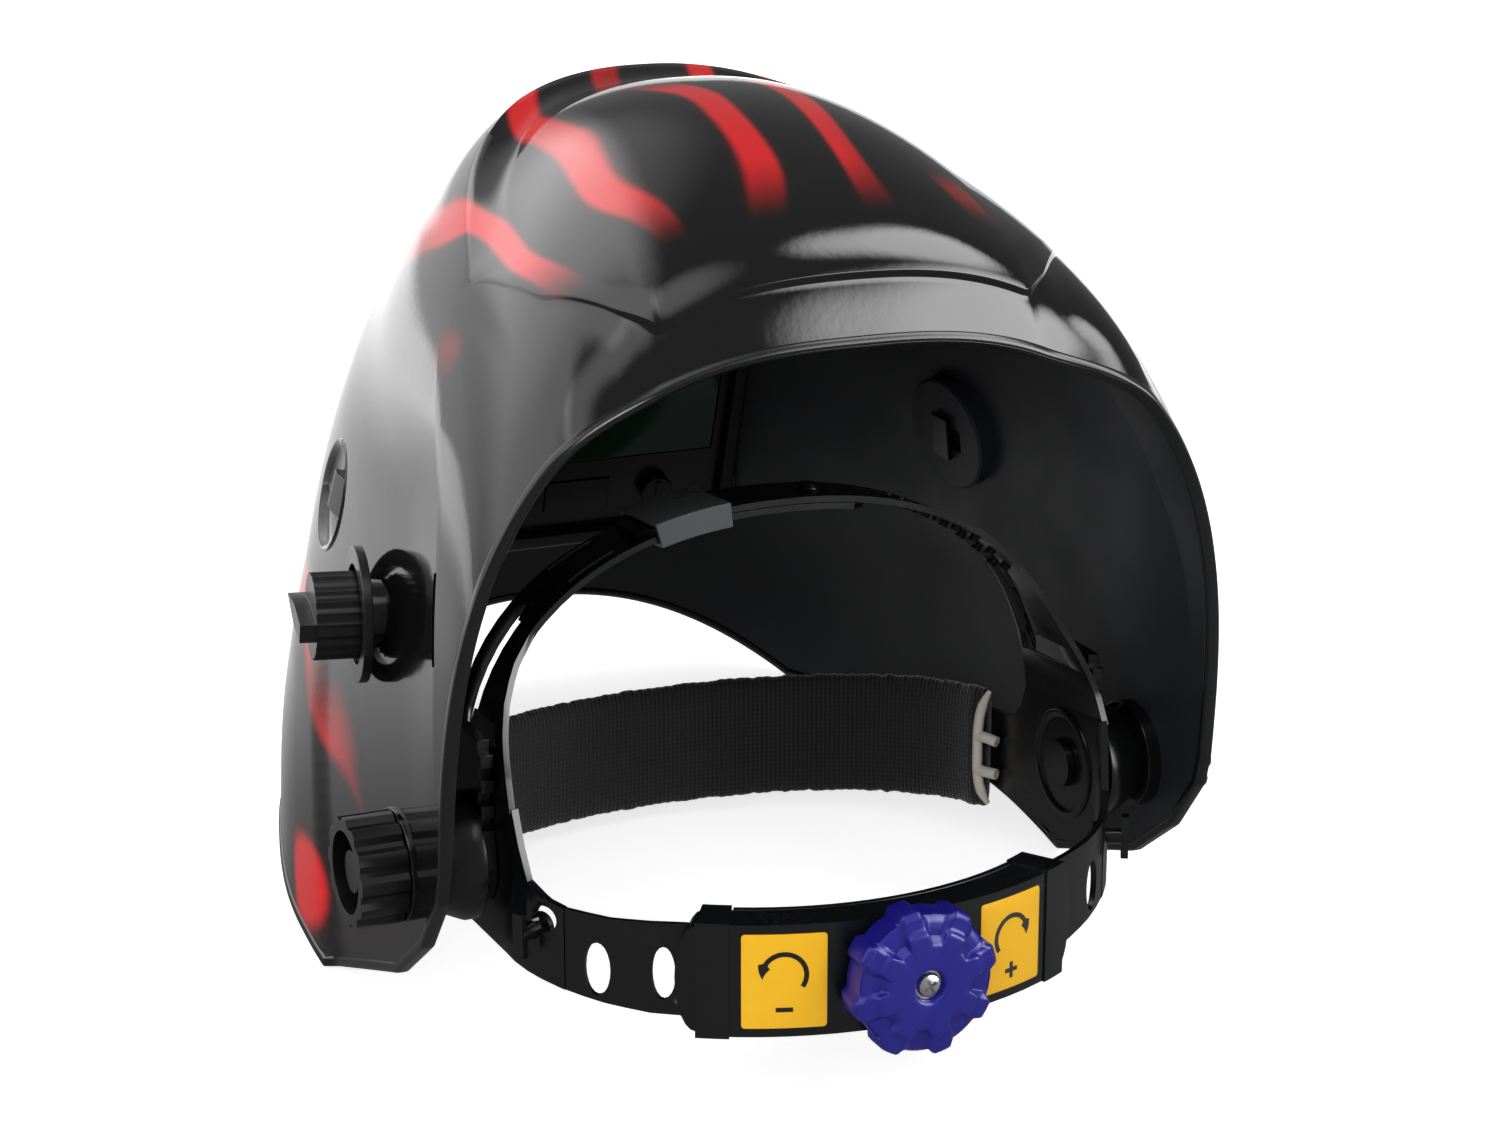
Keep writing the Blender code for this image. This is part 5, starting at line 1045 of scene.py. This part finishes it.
pad_end = band_way[-1] - 4 * MM
way = np.arange(-pad_end, pad_end, RIB / 5)
place, inwards = band_spot(way)
turn_round = np.linspace(0, 2 * np.pi, 30, endpoint=False)
cos, sin = np.cos(turn_round), np.sin(turn_round)
depth_share = 0.5 + 0.5 * np.sign(cos) * np.abs(cos) ** 0.55
height_share = 0.5 * np.sign(sin) * np.abs(sin) ** 0.5
rng = np.random.default_rng(4)
wander = np.interp(way, np.linspace(-pad_end, pad_end, 90), rng.normal(0, 0.22, 90)) * MM
scallop = 0.22 * MM * np.abs(np.sin(np.pi * way / (2 * RIB)))
rib = 0.3 * MM * (np.abs(np.sin(np.pi * way / RIB)) - 0.5)
swell = np.ones_like(way) - 0.35 * np.exp(-((pad_end - np.abs(way)) / (3 * MM)) ** 2)
rings = []
for i in range(len(way)):
    depth = (SLEEVE_GAP + depth_share * SLEEVE_THICK * swell[i]) + rib[i] * np.maximum(cos, 0)
    height = (
        height_share * (SLEEVE_TALL * MM - 0.6 * MM)
        + np.sign(sin) * np.abs(sin) ** 4 * (scallop[i] + wander[i])
    )
    flat = place[i] + inwards[i] * depth[:, None]
    rings.append(np.column_stack([flat, band_height(way[i]) + height]))
sweatband = ring_piece("knit_sweatband", placed(np.array(rings), HEAD_AT), False, KNIT)
sweatband.data.shade_smooth()
unrolled = sweatband.data.uv_layers.new(name="knit")
corner_point = np.zeros(len(sweatband.data.loops), int)
sweatband.data.loops.foreach_get("vertex_index", corner_point)
station, spot = np.divmod(corner_point, len(turn_round))
stitches = np.column_stack([way[station] / RIB, height_share[spot] * SLEEVE_TALL / COURSE])
unrolled.data.foreach_set("uv", stitches.ravel().astype(np.float32))
hand_over(sweatband, "headgear", "sweatband")
print("sweatband faces:", len(sweatband.data.polygons))

# %% [markdown]
# ## Raw end
# The sleeve's cut end is pale. A soft roll follows the cut, and two short stubs of lining stick out of it.

# %% Raw cut end of the sweatband
start, towards_head = band_spot(np.array([-pad_end - 0.3 * MM]))
cut_line = []
for share in np.linspace(-0.47, 0.47, 26):
    deep = 1.5 + 5.6 * (1 - abs(2 * share) ** 3.5)
    flat = start[0] + towards_head[0] * deep * MM
    cut_line.append((flat[0], flat[1], band_height(-pad_end) + share * SLEEVE_TALL * MM))
edge_radius = np.interp(range(26), (0, 3, 22, 25), (0.9, 1.8, 1.8, 0.9)) * MM
edge_strip = tube("raw_edge", placed(cut_line, HEAD_AT), edge_radius, RAW)
hand_over(edge_strip, "headgear")
for number, (share, rise) in enumerate(((0.1, 2.0), (-0.17, 0.0))):
    steps = np.linspace(0, 1, 12)
    near, inner = band_spot(-pad_end - steps * 8 * MM)
    deep = (7.0 - 3.4 * steps**1.5)[:, None] * MM
    flat = near + inner * deep
    lift = (
        band_height(-pad_end)
        + share * SLEEVE_TALL * MM
        + rise * MM * np.sin(steps * np.pi / 2) * (1 - steps)
    )
    stub = tube(f"raw_stub_{number}", placed(np.column_stack([flat, lift]), HEAD_AT), 1.9 * MM, RAW, sides=12)
    hand_over(stub, "headgear")

# %% [markdown]
# ## Ratchet knob
# The knob is a grid in polar form: every ring has its own radius and height, and the toothed outline is
# a function of the angle. The raised star, its step and the scalloped rim come from the same function.

# %% Ratchet knob
TEETH, HOUSING_REACH, LABEL_TURN = 8, 116.3, 18.95
RATCHET_AT = HEAD_AT @ Matrix.Translation((0, -28 * MM, -22 * MM))
KNOB_AT = RATCHET_AT @ Matrix.Translation((0, HOUSING_REACH * MM, 0))
knob_angles = np.linspace(0, 2 * np.pi, TEETH * 40, endpoint=False)


def teeth(radius, depth, crest, flank):
    """Reach of a toothed outline at every angle of the knob, with rounded flanks."""
    pitch = 2 * np.pi / TEETH
    share = ((knob_angles - np.pi / 2 + math.radians(8.5)) / pitch) % 1 - 0.5
    return radius - depth * eased((np.abs(share) - crest / 2) / flank)


rim_reach = teeth(23.5 * MM, 2.0 * MM, 0.26, 0.13)
star_reach = teeth(17.2 * MM, 3.6 * MM, 0.4, 0.16)
scoop = teeth(0, 1.1 * MM, 0.3, 0.2)
plain = np.ones_like(knob_angles)
knob_rings = [
    (4.9 * MM * plain, 11.4), (4.9 * MM * plain, 14.1), (5.2 * MM * plain, 14.6), (5.9 * MM * plain, 14.8),
    (7.5 * MM * plain, 14.85), (star_reach - 1.4 * MM, 14.85), (star_reach - 0.5 * MM, 14.75),
    (star_reach - 0.05 * MM, 14.4), (star_reach + 0.3 * MM, 13.6), (star_reach + 0.8 * MM, 13.25),
    (star_reach + 1.6 * MM, 13.15), ((star_reach + rim_reach) / 2 + 1.2 * MM, 13.0),
    (rim_reach - 1.8 * MM, 12.7),
    (rim_reach - 0.9 * MM, 12.3), (rim_reach - 0.3 * MM, 11.7), (rim_reach, 10.9), (rim_reach, 8.0),
    (rim_reach, 4.0), (rim_reach - 0.2 * MM, 1.6), (rim_reach - 0.8 * MM, 0.6), (rim_reach - 1.8 * MM, 0.2),
    (12 * MM * plain, 0.2), (4.5 * MM * plain, 0.2),
]
rings = []
for index, (reach, level) in enumerate(knob_rings):
    lift = scoop if 10 <= index <= 14 else 0
    x, y, z = reach * np.cos(knob_angles), level * MM + lift * plain, -reach * np.sin(knob_angles)
    rings.append(np.stack([x, y, z], axis=1))
knob = ring_piece("lobed_knob", placed(np.array(rings), KNOB_AT), True, BLUE)
hand_over(smooth_shade(knob, 50), "ratchet_dial", "ratchet_knob")

# %% [markdown]
# ## Knob screw
# The screw is one turned profile, and two crossed blocks cut its recess.

# %% Knob screw with a crosshead
screw = lathe(
    "crosshead_screw",
    [(0.01, -1.0), (1.5, -1.0), (1.5, 11.6), (4.6, 11.65), (4.75, 12.0), (4.6, 12.5), (3.9, 12.55),
     (3.8, 13.0), (3.3, 13.8), (2.2, 14.25), (0.01, 14.4)],
    KNOB_AT, False, STEEL,
)
for turn in (25, 115):
    tool_at = KNOB_AT @ Matrix.Translation((0, 14 * MM, 0)) @ Matrix.Rotation(math.radians(turn), 4, "Y")
    cut(screw, block("cross tool", (4.4 * MM, 2.6 * MM, 0.95 * MM), (0, 0, 0), tool_at))
hand_over(smooth_shade(screw, 30), "ratchet_dial", "knob_screw")

# %% [markdown]
# ## Labels
# A label is a thin film on the curved housing, so its outline is given as an angle across and a height. Rings
# that shrink towards its middle fill it. Each label has a turning arrow and a plus or minus sign.

# %% Labels on the housing
HALF_TURN, HALF_TALL, CORNER = 6.3, 14.9, 1.1
FILM_RINGS = [(1, 116.05), (1, 116.2)] + [(shrink, 116.26) for shrink in (0.985, 0.75, 0.5, 0.25, 0.02)]


def on_housing(angle, reach, rise):
    """A place on the housing: turn from its middle, then distance from its axis and height in millimetres."""
    return reach * MM * math.sin(angle), reach * MM * math.cos(angle), rise * MM


corners = []
for centre_a, centre_z, first in ((1, 1, 0), (-1, 1, 90), (-1, -1, 180), (1, -1, 270)):
    for a in np.radians(np.linspace(first, first + 90, 6)):
        turn = centre_a * (HALF_TURN - CORNER / 2) + CORNER / 2 * math.cos(a)
        corners.append((turn, centre_z * (HALF_TALL - CORNER) + CORNER * math.sin(a)))
outline = []
for here, there in zip(corners, corners[1:] + corners[:1]):
    steps = 12 if math.dist(here, there) > 3 else 1
    outline += [tuple(np.add(here, np.subtract(there, here) * k / steps)) for k in range(steps)]
for label, side in SIDES:
    rings = [
        [on_housing(math.radians(side * LABEL_TURN + a * shrink), reach, z * shrink) for a, z in outline]
        for shrink, reach in FILM_RINGS
    ]
    film = ring_piece(f"label_{label}", placed(np.array(rings), RATCHET_AT), False, YELLOW)
    hand_over(smooth_shade(film, 40), "ratchet")

# %% Marks on the labels


def mark(name, side, path, widths):
    """A printed stroke on a label, along points across and up in millimetres."""
    path = np.asarray(path, float)
    aim = np.gradient(path, axis=0)
    aim /= np.linalg.norm(aim, axis=1)[:, None]
    across_aim = np.stack([-aim[:, 1], aim[:, 0]], axis=1)
    rings = []
    for spot, sideways, wide in zip(path, across_aim, np.broadcast_to(widths, len(path))):
        ring = []
        for way, reach in ((-1, 116.2), (1, 116.2), (1, 116.34), (-1, 116.34)):
            over, rise = spot + sideways * wide * way
            ring.append(on_housing(math.radians(side * LABEL_TURN) + over / HOUSING_REACH, reach, rise))
        rings.append(ring)
    stroke = ring_piece(name, placed(np.array(rings), RATCHET_AT), False, PRINT)
    return hand_over(stroke, "ratchet")


for label, side in SIDES:
    sweep = np.radians(np.linspace(215, -10, 34)) if side > 0 else np.radians(np.linspace(-35, 190, 34))
    arc = np.stack([6.6 * np.cos(sweep), 2.0 + 6.6 * np.sin(sweep)], axis=1)
    mark(f"turn_arrow_{label}", side, arc, np.interp(range(34), (0, 27, 27.01, 33), (0.75, 0.75, 2.3, 0.05)))
    mark(f"sign_bar_{label}", side, [(-2.6, -9), (0, -9), (2.6, -9)], 0.7)
    if side < 0:
        mark("sign_post_right", side, [(0, -11.6), (0, -9), (0, -6.4)], 0.7)

# %% [markdown]
# ## Stage
# A white floor, four soft lamps and a camera with a long lens. The floor shows white to the camera and keeps
# the shadow. Reflections see the paper painted dark, with painted light on it: a glow that grows towards the
# front and a bright patch further out.

# %% Camera, floor and light
CAMERA_PLACE = (0.4232, 0.9021, 0.6149)
camera = linked("camera", bpy.data.cameras.new("camera"))
back = Vector((0.3875, 0.8092, 0.4415)).normalized()
right = Vector((-0.915, 0.396, 0.077))
right = (right - back * right.dot(back)).normalized()
up = back.cross(right)
camera.matrix_world = Matrix.Translation(CAMERA_PLACE) @ Matrix((right, up, back)).transposed().to_4x4()
camera.data.lens, camera.data.sensor_width = 82.1, 36.0
camera.data.clip_start = 0.01
bpy.context.scene.camera = camera


def floor_material():
    """White paper that keeps a soft shadow and stays white to the camera."""
    material = bpy.data.materials.new("white paper")
    material.use_nodes = True
    tree = material.node_tree
    shader = tree.nodes["Principled BSDF"]
    place = add(tree, "ShaderNodeTexCoord").outputs["Object"]
    tone = mixed(tree, noise(tree, place, 60.0, 3.0), (0.8, 0.8, 0.8, 1), (0.84, 0.84, 0.84, 1))
    light_path = add(tree, "ShaderNodeLightPath")
    # For reflected rays the paper is painted dark, and painted light glows from it: a bright patch further
    # out and a glow towards the front.
    mirrored = light_path.outputs["Is Glossy Ray"]
    tree.links.new(mixed(tree, mirrored, tone, (0.1, 0.1, 0.1, 1)), shader.inputs["Base Color"])
    shader.inputs["Roughness"].default_value = 0.9
    shader.inputs["Emission Color"].default_value = (1, 1, 1, 1)
    looks = maths(tree, "ADD", light_path.outputs["Is Camera Ray"], light_path.outputs["Is Transmission Ray"])
    seen = maths(tree, "MULTIPLY", maths(tree, "MINIMUM", looks, 1.0), 0.75)
    ahead = add(tree, "ShaderNodeSeparateXYZ", {"Vector": place}).outputs["Y"]
    reflected_glow_patch = maths(tree, "MULTIPLY", ramp(tree, ahead, -0.5, -0.85), ramp(tree, ahead, -1.7, -1.2))
    front = maths(tree, "MULTIPLY", ramp(tree, ahead, 0.0, -0.38), 0.9)
    glow = maths(tree, "ADD", maths(tree, "MULTIPLY", reflected_glow_patch, 1.5), maths(tree, "ADD", front, 0.1))
    glow = maths(tree, "MULTIPLY", glow, mirrored)
    tree.links.new(maths(tree, "ADD", seen, glow), shader.inputs["Emission Strength"])
    return material


floor = new_piece("floor", [(-6, -6, 0), (6, -6, 0), (6, 6, 0), (-6, 6, 0)], [(0, 1, 2, 3)], floor_material())


def softbox(name, towards, distance, width, height, radiance):
    """A rectangular light that faces the helmet from the given direction."""
    aim = Vector((0, -0.03, 0.15))
    light = bpy.data.lights.new(name, "AREA")
    light.shape, light.size, light.size_y = "RECTANGLE", width, height
    light.energy = radiance * math.pi * width * height
    lamp = linked(name, light)
    lamp.location = aim + Vector(towards).normalized() * distance
    lamp.rotation_euler = (aim - lamp.location).to_track_quat("-Z", "Y").to_euler()
    lamp.visible_glossy = False


softbox("front softbox", (0.35, -0.6, 0.72), 1.6, 0.9, 0.6, 2.5)
softbox("rear softbox", (-0.49, 0.515, 0.71), 1.6, 0.55, 0.4, 8.0)
softbox("left panel", (0.78, -0.6, 0.08), 1.3, 0.8, 0.8, 3.0)
softbox("fill", (0.75, 0.75, 0.75), 2.2, 1.4, 1.4, 3.0)

# %% [markdown]
# ## What the gloss reflects
# Lacquer works like a mirror, so the edges of a lamp would show in it as hard shapes. The lamps stay out of
# reflections, and the world draws soft fields of light in their place: a wide pale one on the left, two weak
# ones in front and overhead, and two strong ones on the right, behind and above.

# %% World
world = bpy.data.worlds.new("studio")
bpy.context.scene.world = world
world.use_nodes = True
tree = world.node_tree
tree.nodes.clear()
light_path = add(tree, "ShaderNodeLightPath")
looking = add(tree, "ShaderNodeTexCoord").outputs["Generated"]


def facing(aim, start, end):
    """0 to 1 as the ray turns towards a direction."""
    dot = add(tree, "ShaderNodeVectorMath", {0: looking, 1: aim}, operation="DOT_PRODUCT")
    return ramp(tree, dot.outputs["Value"], start, end)


def field(aim, inner, outer, radiance):
    """A round soft light: full inside the inner angle, gone outside the outer one."""
    mask = facing(Vector(aim).normalized(), math.cos(math.radians(outer)), math.cos(math.radians(inner)))
    return maths(tree, "MULTIPLY", mask, radiance)


left_side = maths(tree, "MULTIPLY", facing((1, 0, -0.3), -0.2, 0.0), facing((0, -1.6, 1), 0.0, 0.7))
rising = maths(tree, "MULTIPLY_ADD", facing((0, 0, 1), 0.0, 0.28), 1.2, 0.9)
glow = maths(tree, "ADD", maths(tree, "MULTIPLY", left_side, rising), 0.25)
for aim, inner, outer, radiance in (
    ((0.28, -0.77, 0.574), 10, 35, 0.6),
    ((0.08, 0.298, 0.951), 5, 20, 1.6),
):
    glow = maths(tree, "ADD", glow, field(aim, inner, outer, radiance))
strong = maths(
    tree, "MAXIMUM", field((-0.69, 0.58, 0.43), 15, 27, 9.0), field((-0.58, 0.1, 0.81), 8, 17, 7.5)
)
glossy = maths(tree, "MULTIPLY", light_path.outputs["Is Glossy Ray"], maths(tree, "ADD", glow, strong))
soft = maths(tree, "MULTIPLY", light_path.outputs["Is Diffuse Ray"], 0.45)
direct = maths(tree, "ADD", light_path.outputs["Is Camera Ray"], light_path.outputs["Is Transmission Ray"])
strength = maths(tree, "ADD", maths(tree, "ADD", glossy, soft), maths(tree, "MINIMUM", direct, 1.0))
sky = add(tree, "ShaderNodeBackground", {"Color": (1, 1, 1, 1), "Strength": strength})
add(tree, "ShaderNodeOutputWorld", {"Surface": sky.outputs[0]})
bpy.context.scene.view_settings.view_transform = "Standard"
